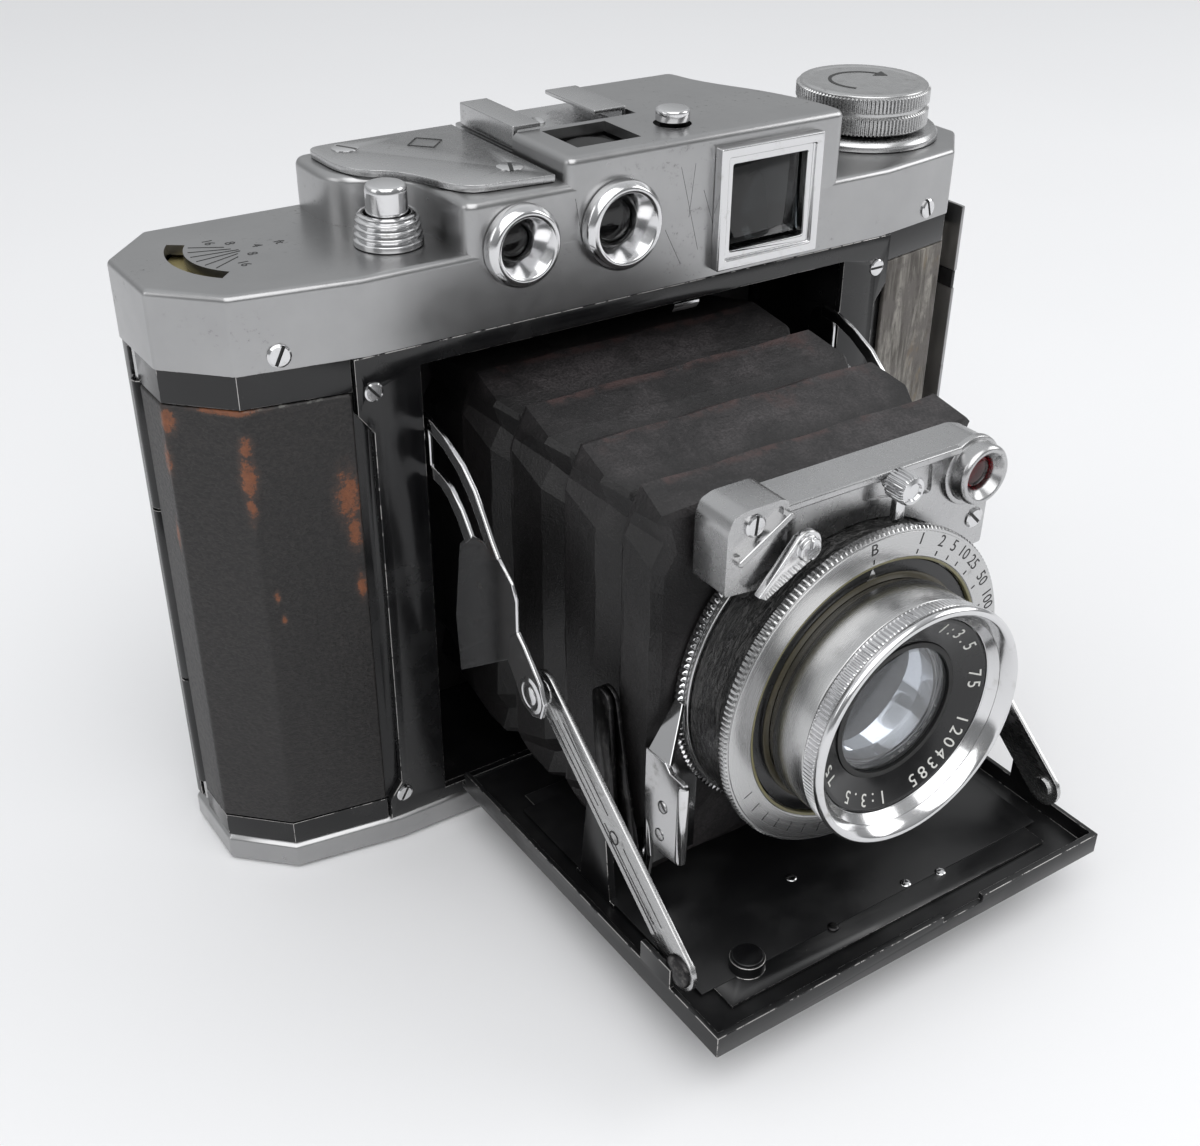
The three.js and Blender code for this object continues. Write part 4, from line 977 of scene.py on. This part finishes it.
for k, angle in enumerate((152, 164, 176, 188, 200, 212)):
    line(f"depth_mark_{k}", on_disc(angle, 2.2 + abs(k - 2.5) * 0.9, LOW_TOP), on_disc(angle, 9.3, LOW_TOP),
         0.13, UP, CAMERA, INK)
for k, (x, y, figure) in enumerate(((-58.6, 23.4, "16"), (-56.2, 21.6, "8"), (-55.2, 16.2, "8"),
                                    (-57.6, 13.2, "16"), (-53.4, 18.9, "4"), (-50.2, 18.6, "ft"))):
    lettering(f"depth_figure_{k}", figure, 2.1, at(x, y, LOW_TOP), FRONT, RIGHT, CAMERA, INK)

# engraved square on the step plate
corners = [(-23.5, 22.2), (-20.7, 25), (-23.5, 27.8), (-26.3, 25)]
for k in range(4):
    line(f"film_mark_{k}", at(*corners[k], STEP_TOP), at(*corners[(k + 1) % 4], STEP_TOP), 0.2, UP,
         CAMERA, INK)

# ------------------------------------------------------------------ body
for node, width in (("body_shell", 0.12), ("front_frame_plate", 0.09), ("back_door", 0.14)):
    refine(node, [ENAMEL, EDGE], width, 2, edge_slot=1)
for node, material, width, segments in (("bottom_plate", SATIN, 0.25, 3), ("leather_left", LEATHER, 0.45, 3),
                                        ("leather_right", GLUE, 0.2, 2), ("door_latch", CHROME, 0.18, 3),
                                        ("window_cover", CHROME, 0.12, 2)):
    refine(node, [material], width, segments)

red_pane = [(0, 31.2), (3.1, 31.2), (3.1, 32.2), (0, 32.2)]
turned("red_window", red_pane, "door", RED, radius=0.1, centre=at(RED_WINDOW[0], 0, RED_WINDOW[1]),
       segments=48)
back_leather = box_piece("back_leather", (-62.5, 32.5, 9.5), (62.5, 33.3, 81), "door", LEATHER_SOUND, 0.3)
carve(back_leather, [drum(*RED_WINDOW, 4.2, 31, 35, 48)])
shade(back_leather.data, 40)

# the bright edge strip of the door at the winding end, in two lengths with a black gap between
EDGE_METAL = satin_chrome("edge_metal", 0.40, 0.34)
box_piece("edge_strip_high", (72.3, 6.6, 72.4), (73.05, 12.2, 84.3), CAMERA, EDGE_METAL, 0.25)
box_piece("edge_strip_low", (72.3, 6.6, 6.0), (73.05, 12.2, 69.2), CAMERA, EDGE_METAL, 0.25)
box_piece("edge_strip_gap", (72.2, 6.8, 69.2), (72.9, 12.0, 72.4), CAMERA, ENAMEL, 0.1)

# ------------------------------------------------------------------ drop bed
refine("drop_bed", [BED_BROWN, EDGE, BED_RIM], 0.13, 2, edge_slot=1, outer=lambda centre, normal:
       (abs(centre.x) > 37.3 or centre.y < -71.4) and abs(normal.z) < 0.5 or centre.z < 8.8)
refine("bed_floor_panel", [BED_BROWN, EDGE], 0.10, 2, edge_slot=1)
box_piece("bed_apron", (-33.2, -62.5, 10.2), (33.2, -15, 10.45), "bed", BED_BROWN, 0.1)
for k, (x, y, material) in enumerate(((-7.7, -51.1, CHROME), (6, -61.6, CHROME), (12.2, -62.7, CHROME),
                                      (-9.3, -62.6, DARK))):
    rivet(f"bed_rivet_{k}", at(x, y, 10.3), UP, 0.9, "bed", 0.45, material)
turned("boss_fine", [(0, 12.1), (2.3, 12.1), (2.3, 12.6), (0, 12.6)], "bed", ENAMEL, radius=0.2,
       centre=at(-24.6, -61.6, 0), direction=UP, segments=48)

# ------------------------------------------------------------------ struts, arms and links
def sheet(name, corners, thickness, body, material):
    """A thin plate over corners that lie in one plane, thickened evenly to both sides."""
    normal = (corners[1] - corners[0]).cross(corners[2] - corners[0]).normalized() * thickness / 2 * MM
    bm = bmesh.new()
    front = [bm.verts.new(corner + normal) for corner in corners]
    back = [bm.verts.new(corner - normal) for corner in corners]
    bm.faces.new(front)
    bm.faces.new(list(reversed(back)))
    for k in range(len(corners)):
        j = (k + 1) % len(corners)
        bm.faces.new((front[k], back[k], back[j], front[j]))
    thing = piece(name, from_bmesh(bm, name), body, material)
    soften(thing, 0.15, 3, 30)
    return thing


def flange(side, word):
    """The bent side plate of the lens standard, with its rolled front edge and two rivets."""
    out = (side, 0, 0)
    x = side * 28.75
    flat = [(-42.1, 38.6), (-46.6, 38.8), (-47.8, 37.7), (-51.0, 37.7), (-51.3, 36.8), (-51.3, 25.0),
            (-50.4, 23.0), (-46, 22.3), (-44.6, 23.0), (-42.1, 27)]
    leg = [(-42.1, 30), (-43.4, 24), (-44.0, 20), (-43.4, 15.8), (-38.6, 15.8), (-37.6, 17), (-37.6, 20),
           (-42.1, 24.4)]
    parts = [
        sheet("flat", [at(x, y, z) for y, z in flat], 0.8, "standard", CHROME),
        sheet("leg", [at(x, y, z) for y, z in leg], 0.6, "standard", CHROME),
        sheet("gusset", [at(x, -42.5, 38.4), at(x, -47.6, 38.6), at(side * 24.4, -44.2, 45.4),
                         at(side * 24.4, -42.5, 45.2)], 0.7, "standard", CHROME),
    ]
    roll = [(0, 23.6), (0.75, 24.0), (0.85, 24.6), (0.85, 36.6), (0.75, 37.2), (0, 37.6)]
    parts.append(turned("roll", roll, "standard", CHROME, radius=0, segments=32,
                        centre=at(side * 29.0, -50.9, 0), direction=UP))
    joined(f"flange_{word}", parts, "standard")
    rivet(f"flange_rivet_{word}_0", at(side * 29.15, -46.5, 30.9), out, 1.0, "standard", 0.35, STEEL)
    rivet(f"flange_rivet_{word}_1", at(side * 29.15, -46.0, 25.6), out, 1.0, "standard", 0.25, STEEL)


standard_parts = [turned("ring_back", ring((16, -43), (24.3, -43), (24.3, -42), (16, -42)), "standard",
                         CHROME, radius=0.15, segments=128)]
for side in (-1, 1):
    low, high = sorted((side * 20.5, side * 29.1))
    standard_parts.append(box_piece("wing", (low, -43, 17.4), (high, -42, 38.4), "standard", CHROME, 0.15))
    standard_parts.append(turned("pivot", [(0, 28.5), (0.8, 28.5), (0.8, 30.7), (0, 30.7)], "standard",
                                 STEEL, radius=0, segments=24, centre=at(0, -40.3, 17.7),
                                 direction=(side, 0, 0)))
joined("standard_plate_fine", standard_parts, "standard", ["lens_standard"])

# outlines of the upper arm in y and z
ARM_FRONT = [(3.2, 74.4), (-0.5, 74.2), (-5, 72.9), (-9.6, 70.8), (-12.8, 68.2), (-15.2, 65.0),
             (-17.2, 62.2), (-18.9, 60.2)]
ARM_FRONT_INNER = [(-16.9, 59.2), (-14.9, 61.4), (-13.0, 64.2), (-10.8, 66.8), (-8.2, 69.0), (-4.4, 71.0),
                   (-0.5, 72.2), (3.2, 72.4)]
ARM_REAR = [(3, 67.4), (0, 66.8), (-3.2, 66.4), (-6, 65.6), (-8.9, 63.4), (-11.6, 60.2),
            (-9.6, 58.2), (-7.2, 61.4), (-5.0, 63.4), (-3, 64.4), (0, 64.8), (3, 65.2)]
ARM_PLATE = [(-7.6, 57.4), (-9.6, 59.3), (-11.6, 60.6), (-14.4, 61.0), (-16.8, 60.3), (-18.9, 60.2),
             (-20.2, 59.4), (-22.3, 58.0), (-23.4, 55.6), (-23.4, 50.4), (-24.2, 47.4), (-20.6, 44.4),
             (-6.2, 34.2), (-5.4, 44)]
ARM_EAR = [(-23.4, 50.8), (-25.2, 49.4), (-29.4, 45.2), (-30.5, 42.2), (-29.6, 39.4), (-27.2, 38.5),
           (-24.4, 39.4), (-22.4, 42.4), (-20.6, 44.6), (-21.4, 49.0)]


def arm(side, word):
    """The upper arm: two slim bands that run into a broad plate, and an ear for the rivet."""
    outside = -38.5 if side < 0 else 37.7
    parts = []
    for k, (outline, shift, thickness) in enumerate((
            (ARM_FRONT + ARM_FRONT_INNER, 0, 0.8), (ARM_REAR, 0, 0.8), (ARM_PLATE, 0.12, 0.6),
            (ARM_EAR, 0, 0.8), (capsule(ARM_PIVOT, (3, 67), 3.2), 0.06, 0.68))):
        mesh = prism_mesh(f"arm_{k}", outline, thickness, at(outside + shift, 0, 0), BACK, UP)
        part = piece(f"arm_{k}", mesh, "upper_arms", POLISHED if k == 2 else CHROME)
        soften(part, 0.26, 4, 30)
        parts.append(part)
    joined(f"upper_arm_{word}_fine", parts, "upper_arms", [f"upper_arm_{word}"])


def strut_marks(side, word):
    """Scribed lines and a punched circle on the outside of a strut."""
    foot, elbow = Vector((0, *FOOT)), Vector((0, -27, 42))
    along = (foot - elbow).normalized()
    across = Vector((0, -along.z, along.y))

    def on_strut(run, off):
        spot = elbow + along * run + across * off
        return at(side * 36.2, spot.y, spot.z)
    for k, (start, end, off) in enumerate(((4.5, 18, 0.5), (5.5, 20, -0.9), (20.5, 36, 1.1), (25, 37, -0.7),
                                           (4.0, 37.5, 1.9))):
        line(f"strut_line_{word}_{k}", on_strut(start, off), on_strut(end, off), 0.14, (side, 0, 0),
             "struts", DARK)
    turned(f"strut_mark_{word}", ring((0.85, 0.0), (1.1, 0.0), (1.1, 0.05), (0.85, 0.05)), "struts", DARK,
           radius=0, segments=32, centre=on_strut(23.0, 0.5), direction=(side, 0, 0))


for side, word in ((-1, "left"), (1, "right")):
    arm(side, word)
    refine(f"strut_{word}", [STEEL], 0.2, 3)
    strut_marks(side, word)
    refine(f"rear_link_{word}", [DARK], 0.12, 2)
    refine(f"front_link_{word}", [DARK], 0.12, 2)
    out = (side, 0, 0)
    turned(f"elbow_washer_{word}", [(0, 37.9), (2.9, 37.9), (2.9, 38.5), (2.2, 38.7), (1.9, 38.6), (0, 38.6)],
           "upper_arms", CHROME, radius=0.15, centre=at(0, *ELBOW), direction=out, segments=64)
    rivet(f"elbow_rivet_{word}", at(side * 38.45, *ELBOW), out, 1.5, "upper_arms", 0.42)
    rivet(f"arm_rivet_{word}", at(side * 38.4, *ARM_PIVOT), out, 1.9, "upper_arms", 0.6)
    rivet(f"foot_rivet_{word}", at(side * 36.3, *FOOT), out, 2.5, "struts", 0.9, DARK)
    flange(side, word)

# ------------------------------------------------------------------ bellows
RIDGES = (7.0, -7.0, -21.2, -35.4)
# (how far forward of the ridge, then per corner: end of the top edge, outer corner, notch, start of
# the side edge), each as (half width, height above the axis), and the painted shade of the cloth there:
# 1 for a lit ridge, down to 0 for a dark valley
HALF_HIGH = 31.4
PLEAT = [
    (0.0, ((26.2, 0), (27.7, -3.0), (28.4, -4.6), (29.0, -6.2)), 1.0),
    (0.5, ((26.4, -0.1), (27.8, -3.0), (28.4, -4.5), (28.95, -6.2)), 0.98),
    (7.2, ((27.2, -1.5), (27.9, -2.3), (26.6, -5.8), (28.5, -9.2)), 0.62),
    (10.6, ((25.6, -2.6), (25.8, -3.6), (24.8, -7.6), (26.6, -10.6)), 0.30),
    (11.8, ((24.6, -4.2), (24.6, -5.0), (24.2, -8.4), (24.8, -10.4)), 0.0),
    (13.5, ((25.8, -0.5), (27.2, -3.2), (28.1, -4.9), (28.6, -6.4)), 0.75),
]


def bellows_ring(corner):
    """One closed section; corner lists the four points of its upper right corner."""
    result = []
    for sx, sz in ((1, 1), (-1, 1), (-1, -1), (1, -1)):
        points = [(sx * x, sz * (HALF_HIGH + z)) for x, z in corner]
        if sx * sz > 0:
            points.reverse()
        result.append(points)
    section = []
    for k in range(4):
        section += result[k]
        start, end = result[k][-1], result[(k + 1) % 4][0]
        section += [(start[0] + (end[0] - start[0]) * t / 14, start[1] + (end[1] - start[1]) * t / 14)
                    for t in range(1, 14)]
    return section


# (y, section, painted shade of the cloth) of every ring, from the film gate to the lens standard
stations = [(24.2, PLEAT[3][1], 0.1), (20.0, PLEAT[3][1], 0.2)]
for ridge in RIDGES:
    stations += [(ridge - forward, corner, height) for forward, corner, height in PLEAT
                 if ridge - forward > -41.7]
stations += [(-41.0, PLEAT[2][1], 0.6), (-41.7, PLEAT[3][1], 0.5),
             (-41.8, ((14.5, -13.0), (15.0, -13.4), (15.0, -13.8), (14.5, -14.2)), 0.5)]
stations.sort(key=lambda station: -station[0])
rows = []
shell = bmesh.new()
crease_shade = shell.verts.layers.float.new("crease_shade")
dent = random.Random(7)                    # the seed keeps the creases the same on each run
sags = [(dent.uniform(0, 9), dent.uniform(0, 9)) for _ in stations]
for (y, corner, height), (phase, turn) in zip(stations, sags):
    row = []
    for x, z in bellows_ring(corner):
        wave = 0.18 * math.sin(x * 0.35 + phase) + 0.12 * math.sin(z * 0.4 + turn)
        vert = shell.verts.new(at(x + dent.uniform(-0.07, 0.07), y + wave + dent.uniform(-0.06, 0.06),
                                  LENS_Z + z + 0.3 * wave))
        # painted shade: from 25 to 27.5 mm out to the sides the value falls to 0.28 of itself, so the sides
        # of the bellows come out darker
        vert[crease_shade] = height * (1 - 0.72 * min(1, max(0, (abs(x) - 25) / 2.5)))
        row.append(vert)
    rows.append(row)
for near, far in zip(rows, rows[1:]):
    bridge(shell, near, far)
bellows = piece("bellows_fine", from_bmesh(shell, "bellows_fine"), CAMERA, CLOTH,
                ["bellows"])
thick = bellows.modifiers.new("thick", "SOLIDIFY")
thick.thickness = 0.5 * MM
thick.offset = -1
modified(bellows)
soften(bellows, 0.3, 3, 18)
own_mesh(bellows)

# A flat frame seals the rear end of the bellows to the walls of its chamber. It lies between the
# folded lens standard and the film gate, and stays above the chamber's floor.
CHAMBER_FLOOR = 7.6
seal = bmesh.new()
loops = []
for corner in (((38.6, 8.0), (39.2, 8.0), (39.2, 7.4), (39.2, 6.8)),
               ((25.3, -2.9), (25.5, -3.9), (24.5, -7.8), (26.3, -10.8))):
    for y in (24.25, 24.5):
        loops.append([seal.verts.new(at(x, y, max(CHAMBER_FLOOR, LENS_Z + z)))
                      for x, z in bellows_ring(corner)])
for a, b in ((0, 2), (2, 3), (3, 1), (1, 0)):
    bridge(seal, loops[a], loops[b])
# the frame's cloth carries no shade values, so it takes the darkest painted shade of the valleys
piece("bellows_rear_frame", from_bmesh(seal, "bellows_rear_frame"), CAMERA, CLOTH)

# ------------------------------------------------------------------ yoke of the rangefinder eye
def recess(outline, front, depth):
    """A cutter for a sunk panel in a face that looks forwards."""
    return prism_mesh("recess", rounded(outline + [outline[0]], 0.9, 4)[:-1], 3, at(0, front + depth, 0),
                      RIGHT, UP)


# outlines in x and z, seen from the front
YOKE_LEFT = [(-23.2, 65.2), (-23.2, 74.4), (-22.5, 76.3), (-20.6, 77), (-14.6, 77), (-13.4, 76.4),
             (-13.4, 64.2)]
YOKE_BAR = [(-13.6, 64), (-13.6, 75.8), (21.2, 75.8), (24.0, 74.9), (25.2, 72.4), (25.2, 58), (21.4, 58)]
PANEL = [(0.2, 74.2), (13.0, 74.2), (13.4, 69.4), (8.8, 70.2), (4.5, 71.2), (0.2, 71.8)]
POCKET = [(-22.2, 75.4), (-21.0, 76.2), (-14.4, 76.1), (-14.2, 74.6), (-20.9, 70.6), (-22.2, 70.8)]


def yoke_part(name, outline, front, cutters, width):
    outline = rounded(outline + [outline[0]], 0.6, 3)[:-1]
    mesh = prism_mesh(name, outline, -front - 43.1, at(0, -43.1, 0), RIGHT, UP)
    part = piece(name, mesh, "standard", PLATE_SATIN)
    carve(part, cutters)
    soften(part, width, 4, 30)
    return part


def shutter_hole():
    return drum(0, LENS_Z, 24.3, -60, -30, 128)


yoke_parts = [
    yoke_part("yoke_left", YOKE_LEFT, -50, [shutter_hole(), recess(POCKET, -50, 0.5)], 0.6),
    yoke_part("yoke_bar", YOKE_BAR, -49, [shutter_hole(), recess(PANEL, -49, 0.4)], 0.3),
    yoke_part("yoke_rib", capsule((-21.3, 69.9), (-13.6, 74.6), 0.5), -50.9, [], 0.3),
    yoke_part("yoke_lip", capsule((-13.2, 75.2), (17.0, 75.2), 0.58), -50, [], 0.3),
    turned("eye_seat", ring((4.4, -48.8), (5.3, -48.8), (5.2, -49.7), (4.4, -49.9)), "standard",
           PLATE_SATIN, radius=0.2, centre=at(20.4, 0, 71.2)),
]
joined("standard_yoke_fine", yoke_parts, "standard", ["standard_yoke"])

# ------------------------------------------------------------------ shutter and lens
def lens_profile(radius, rim, apex, back_rim, back_apex, steps=14):
    """A lens section: a front that bulges to apex and a back that runs to back_apex."""
    front = [(radius * k / steps, apex + (rim - apex) * (k / steps) ** 2) for k in range(steps + 1)]
    back = [(radius * k / steps, back_apex + (back_rim - back_apex) * (k / steps) ** 2)
            for k in range(steps, -1, -1)]
    return front + back


def rear_profile(radius, steps=8):
    """The rear glass: a flat front and a back that bulges."""
    radii = [radius * (1 - k / steps) for k in range(steps + 1)]
    return [(0, -42.6), (radius, -42.6)] + [(r, -41.0 + 0.9 * (1 - (r / radius) ** 2)) for r in radii]


# name, CAD node, material, radius of the corners, segments, profile
for name, node, material, radius, segments, profile in (
        ("shutter_case", "shutter_body", ALUMINIUM, 0.2, 128,
         ring((19.9, -52.6), (23.3, -52.6), (23.3, -44.6), (24.15, -44.6), (24.15, -43.7), (12.6, -43.5),
              (12.6, -45.6), (19.9, -45.6))),
        ("face_plate_fine", "shutter_face_plate", ENAMEL, 0.2, 128,
         ring((17.6, -53.9), (20.2, -53.9), (20.2, -52.9), (19.6, -52.9), (19.6, -46), (13, -46),
              (13, -47), (17.6, -47))),
        ("brass_ring", None, BRASSY, 0.08, 128,
         ring((17.35, -54.1), (18.3, -54.1), (18.3, -53.6), (17.35, -53.6))),
        ("dial_lip", None, OLIVE, 0.08, 128,
         ring((20.35, -53.6), (20.75, -53.6), (20.75, -54.5), (20.35, -54.4))),
        ("barrel_fine", "lens_barrel", ALUMINIUM, 0.25, 128,
         ring((13.2, -47.2), (17.3, -47.2), (17.3, -55.2), (17.9, -55.4), (17.9, -61.8), (15.2, -61.8),
              (15.2, -60), (13.2, -59))),
        ("name_ring_fine", "name_ring", ENAMEL, 0.12, 128,
         ring((10.6, -59.3), (15, -61), (15.2, -62.4), (14.7, -62.4), (12.3, -61.2), (10.6, -60.4))),
        ("front_glass", "front_element", COATED, 0, 96, lens_profile(10.5, -60.0, -62.2, -58.6, -59.4)),
        ("second_glass", None, COATED, 0, 96, lens_profile(8.8, -56.6, -55.0, -54.6, -54.8)),
        ("third_glass", None, COATED, 0, 96, lens_profile(8.0, -52.4, -53.8, -51.9, -51.6)),
        ("front_retainer", None, MATT, 0.05, 96,
         ring((9.9, -60.6), (10.7, -60.6), (10.7, -57.4), (9.9, -57.4), (9.9, -58.0), (10.3, -58.2),
              (10.3, -59.9), (9.9, -60.0))),
        ("inner_cell", None, MATT, 0.2, 96,
         ring((10.2, -57.6), (13.1, -57.6), (13.1, -51.6), (8.2, -51.6), (8.2, -53.0), (8.9, -54.0),
              (9.0, -56.8))),
        ("inner_rim", None, ALUMINIUM, 0.05, 96,
         ring((8.9, -57.0), (9.5, -57.0), (9.5, -56.7), (8.9, -56.7))),
        ("shutter_blades", None, DARK, 0, 64, [(0, -49.6), (12.4, -49.6), (12.4, -49.4), (0, -49.4)]),
        ("rear_glass", None, COATED, 0, 64, rear_profile(9.6)),
        ("rear_cell_fine", "rear_cell", MATT, 0.2, 96,
         ring((9.4, -47.6), (12.2, -47.6), (12.2, -41.6), (10.6, -40.4), (9.4, -40.4)))):
    turned(name, profile, "standard", material, node, radius=radius, segments=segments)
turned("iris_fine", ring((4.2, -50.3), (12.8, -50.3), (12.8, -50.5), (4.2, -50.6)), "iris", DARK,
       "iris_blades", radius=0)
turned("shutter_wrap", ring((23.2, -52.5), (23.9, -52.5), (23.9, -45.0), (23.2, -45.0)), "standard",
       CRACKLE, radius=0.2, segments=160, slot="shutter_black")
turned("rim_bead", ring((23.2, -43.6), (24.3, -43.6), (24.9, -43.3), (24.9, -42.6), (24.3, -42.2),
                        (23.2, -42.2)), "standard", CHROME, radius=0, teeth=(150, 0.6, -43.4, -42.5))
speed = [
    turned("speed_a", ring((20.6, -52.8), (24.8, -52.8), (25.2, -53.1), (25.2, -54.1), (24.9, -54.45),
                           (20.6, -54.45)), "speed_dial", ALUMINIUM, radius=0,
           teeth=(190, 0.42, -54.2, -52.95)),
    turned("speed_b", ring((20.6, -54.2), (24.6, -54.2), (24.6, SPEED_FACE), (20.9, SPEED_FACE),
                           (20.6, -54.3)), "speed_dial", ALUMINIUM, radius=0.08, segments=160),
]
joined("speed_ring_fine", speed, "speed_dial", ["speed_ring"])
bezel = [
    turned("bezel_knurl", ring((15.4, -62), (18.0, -62), (18.15, -62.2), (18.15, -64.0), (18.0, -64.2),
                               (16.6, -64.2), (15.4, -62.6)), "standard", CHROME, radius=0,
           teeth=(165, 0.4, -64.21, -62.05, 17.5)),
    turned("bezel_lip", ring((16.2, -63.9), (17.9, -64.2), (18.4, -64.5), (18.5, -65.2), (18.1, -65.7),
                             (17.5, -65.7), (17.1, -65.3)), "standard", CHROME, radius=0.2, steps=4,
           segments=160),
    turned("bezel_cone", ring((17.2, -65.4), (16.3, -63.2), (15.3, -62.5), (15.3, -62.1), (16.6, -62.3),
                              (17.4, -65.0)), "standard", ALUMINIUM, radius=0.1, steps=2, segments=160),
]
joined("bezel_fine", bezel, "standard", ["front_bezel"])


def on_face(angle, radius, y):
    """A place on a face that looks forwards; angles turn from +x towards +z, as seen from behind."""
    a = math.radians(angle)
    return at(radius * math.cos(a), y, LENS_Z + radius * math.sin(a))


def face_figure(name, text, angle, radius, y, size, body, material, depth=0.05, tilt=0.0):
    a = math.radians(angle)
    outward = Vector((math.cos(a), -tilt, math.sin(a)))
    right = outward.cross(Vector(FRONT))
    lettering(name, text, size, on_face(angle, radius, y), right, outward, body, material, depth)


SPEEDS = {"B": 94.6, "1": 73.2, "2": 62.4, "5": 55.0, "10": 48.0, "25": 40.2, "50": 30.0, "100": 19.0,
          "200": 7.5}
for k, (figure, angle) in enumerate(SPEEDS.items()):
    face_figure(f"speed_figure_{k}", figure, angle, 23.4, SPEED_FACE, 2.5, "speed_dial", INK)
    line(f"speed_tick_{k}", on_face(angle, 21.2, SPEED_FACE), on_face(angle, 21.9, SPEED_FACE), 0.2, FRONT,
         "speed_dial", INK)
for k in range(9):
    face_figure(f"dial_mark_{k}", "|", 205 + k * 8, 22.9, SPEED_FACE, 1.6, "speed_dial", INK)

POINTER = 93.5                             # degrees round the face plate
outward = Vector((math.cos(math.radians(POINTER)), 0, math.sin(math.radians(POINTER))))
piece("speed_pointer", prism_mesh("speed_pointer", [(-1.0, -1.0), (1.0, -1.0), (0, 0.9)], 0.08,
                                  on_face(POINTER, 19.1, -53.9), outward.cross(Vector(FRONT)), outward),
      "standard", CHROME)
for k, figure in enumerate("1:3.5  75  1204385  1:3.5  75  120438"):
    if figure != " ":
        face_figure(f"ring_figure_{k}", figure, 66 - k * 8.2, 13.5, -61.83, 2.7, "standard", CREAM_INK,
                    0.06, 0.5)

# rangefinder eye
EYE = at(20.4, 0, 71.4)
turned("eye_ring_fine", [(2.3, -48.4), (4.5, -48.7), (4.5, -51.9), (4.1, -52.4), (3.6, -52.4), (2.5, -51.2),
                         (2.3, -48.4)], "standard", PLATE_SATIN, "rangefinder_eye_ring", radius=0.25, steps=4,
       centre=EYE, segments=72)
eye = [(0, -49.6), (2.3, -49.6), (2.3, -50.4)] + dome(2.3, -50.4, -0.7, 6)
turned("eye_glass", eye, "standard", RED, radius=0, centre=EYE, segments=48)
turned("eye_back", [(0, -48.6), (3.1, -48.6), (3.1, -49.3), (0, -49.3)], "standard", MATT, radius=0,
       centre=EYE, segments=48)
for k, (x, y, z) in enumerate(((-18.6, -49.6, 74.2), (23, -49, 62.6))):
    screw(f"yoke_screw_{k}", at(x, y, z), FRONT, 1.6, "standard", 40 + 50 * k, rise=0.4)
refine("release_lever", [CHROME], 0.35, 4)
screw("release_screw", at(-11.8, -52.6, 70.2), FRONT, 1.5, "trip_lever", 20, rise=0.6)
COCK_AT = at(4.5, 0, 74.4)
cocking = [
    turned("cock_knurl", [(0, -50.4), (1.8, -50.4), (2.2, -50.8), (2.2, -53.6), (1.9, -54.1),
                          (1.3, -54.3), (1.1, -54.0), (0, -54.0)], "cocking", CHROME, radius=0,
           centre=COCK_AT, teeth=(26, 0.3, -53.7, -50.7)),
    turned("cock_hub", [(0, -50.6), (1.2, -50.6), (1.4, -49.4), (0.8, -48.8), (0, -48.8)], "cocking",
           CHROME, radius=0, segments=32, centre=COCK_AT),
    box_piece("cock_stem", (3.6, -52.2, 68.9), (5.4, -51.0, 74.6), "cocking", CHROME, 0.3),
]
joined("cocking_lever_fine", cocking, "cocking", ["cocking_lever"])
refine("bed_hinge_bracket", [DARK], 0.15, 2)
refine("eyepiece_ring", [CHROME], 0.15, 2)
refine("tripod_bush", [CHROME], 0.12, 2)
for node, material in (("rangefinder_prism", GLASS), ("waist_finder_mirror", MIRROR),
                       ("door_hinge_pin", STEEL), ("bed_hinge_pin", STEEL), ("film_gate", DARK),
                       ("takeup_spool", SPOOL), ("supply_spool", SPOOL), ("supply_spool_pin", STEEL),
                       ("pressure_plate", DARK)):
    frame["nodes"][node].data.materials.clear()
    frame["nodes"][node].data.materials.append(material)
    shade(frame["nodes"][node].data, 32)

# ------------------------------------------------------------------ floor, light and camera
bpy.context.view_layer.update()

bm = bmesh.new()
bmesh.ops.create_grid(bm, x_segments=1, y_segments=1, size=40)
ground = bpy.data.objects.new("ground", from_bmesh(bm, "ground"))
bpy.context.scene.collection.objects.link(ground)
paper = painted("paper", (0.83, 0.83, 0.84), (0.86, 0.86, 0.87), 0.7, 3)
ground.data.materials.append(paper)

bpy.context.scene.view_settings.view_transform = "Standard"
world = bpy.data.worlds.new("room")
bpy.context.scene.world = world
world.use_nodes = True
room = Nodes(world.node_tree)
background = room.tree.nodes["Background"]
split = room.node("SeparateXYZ", Vector=room.node("TexCoord").outputs["Generated"])
# brighter overhead, dim at eye level, dimmer still on the viewer's side of the room
room.feed(background.inputs["Strength"], room.times(room.ramp(split.outputs[2], 0.05, 0.8, 0.44, 0.82),
                                                    room.ramp(split.outputs[1], -0.7, 0.3, 0.55, 1.0)))
background.inputs["Color"].default_value = (0.97, 0.985, 1.0, 1)


def lamp(name, place, target, size, power):
    data = bpy.data.lights.new(name, "AREA")
    data.shape = "RECTANGLE"
    data.size = data.size_y = size
    data.energy = power
    holder = bpy.data.objects.new(name, data)
    holder.location = place
    holder.rotation_euler = (Vector(target) - Vector(place)).to_track_quat("-Z", "Y").to_euler()
    bpy.context.scene.collection.objects.link(holder)


lamp("top", (-0.30, -0.70, 1.00), (0, -0.10, 0.02), 1.3, 11.0)
lamp("right", (0.95, -0.35, 0.60), (0, 0, 0.05), 0.6, 3.2)
lamp("left", (-0.90, 0.10, 0.50), (0, 0, 0.05), 0.5, 0.9)

camera = bpy.data.objects.new("camera", bpy.data.cameras.new("camera"))
bpy.context.scene.collection.objects.link(camera)
bpy.context.scene.camera = camera
right = Vector((0.81805, -0.57468, 0.02307))
down = Vector((-0.29617, -0.45529, -0.83964))
forward = Vector((0.49303, 0.68003, -0.54266))
turn = Matrix((right, -down, -forward)).transposed().to_4x4()
camera.matrix_world = Matrix.Translation(at(-130.22, -179.89, 170.24)) @ turn
camera.data.sensor_width = 36
camera.data.lens = 46.476
camera.data.shift_x = -0.0354
camera.data.shift_y = 0.0381
camera.data.clip_start = 0.01
camera.data.clip_end = 30
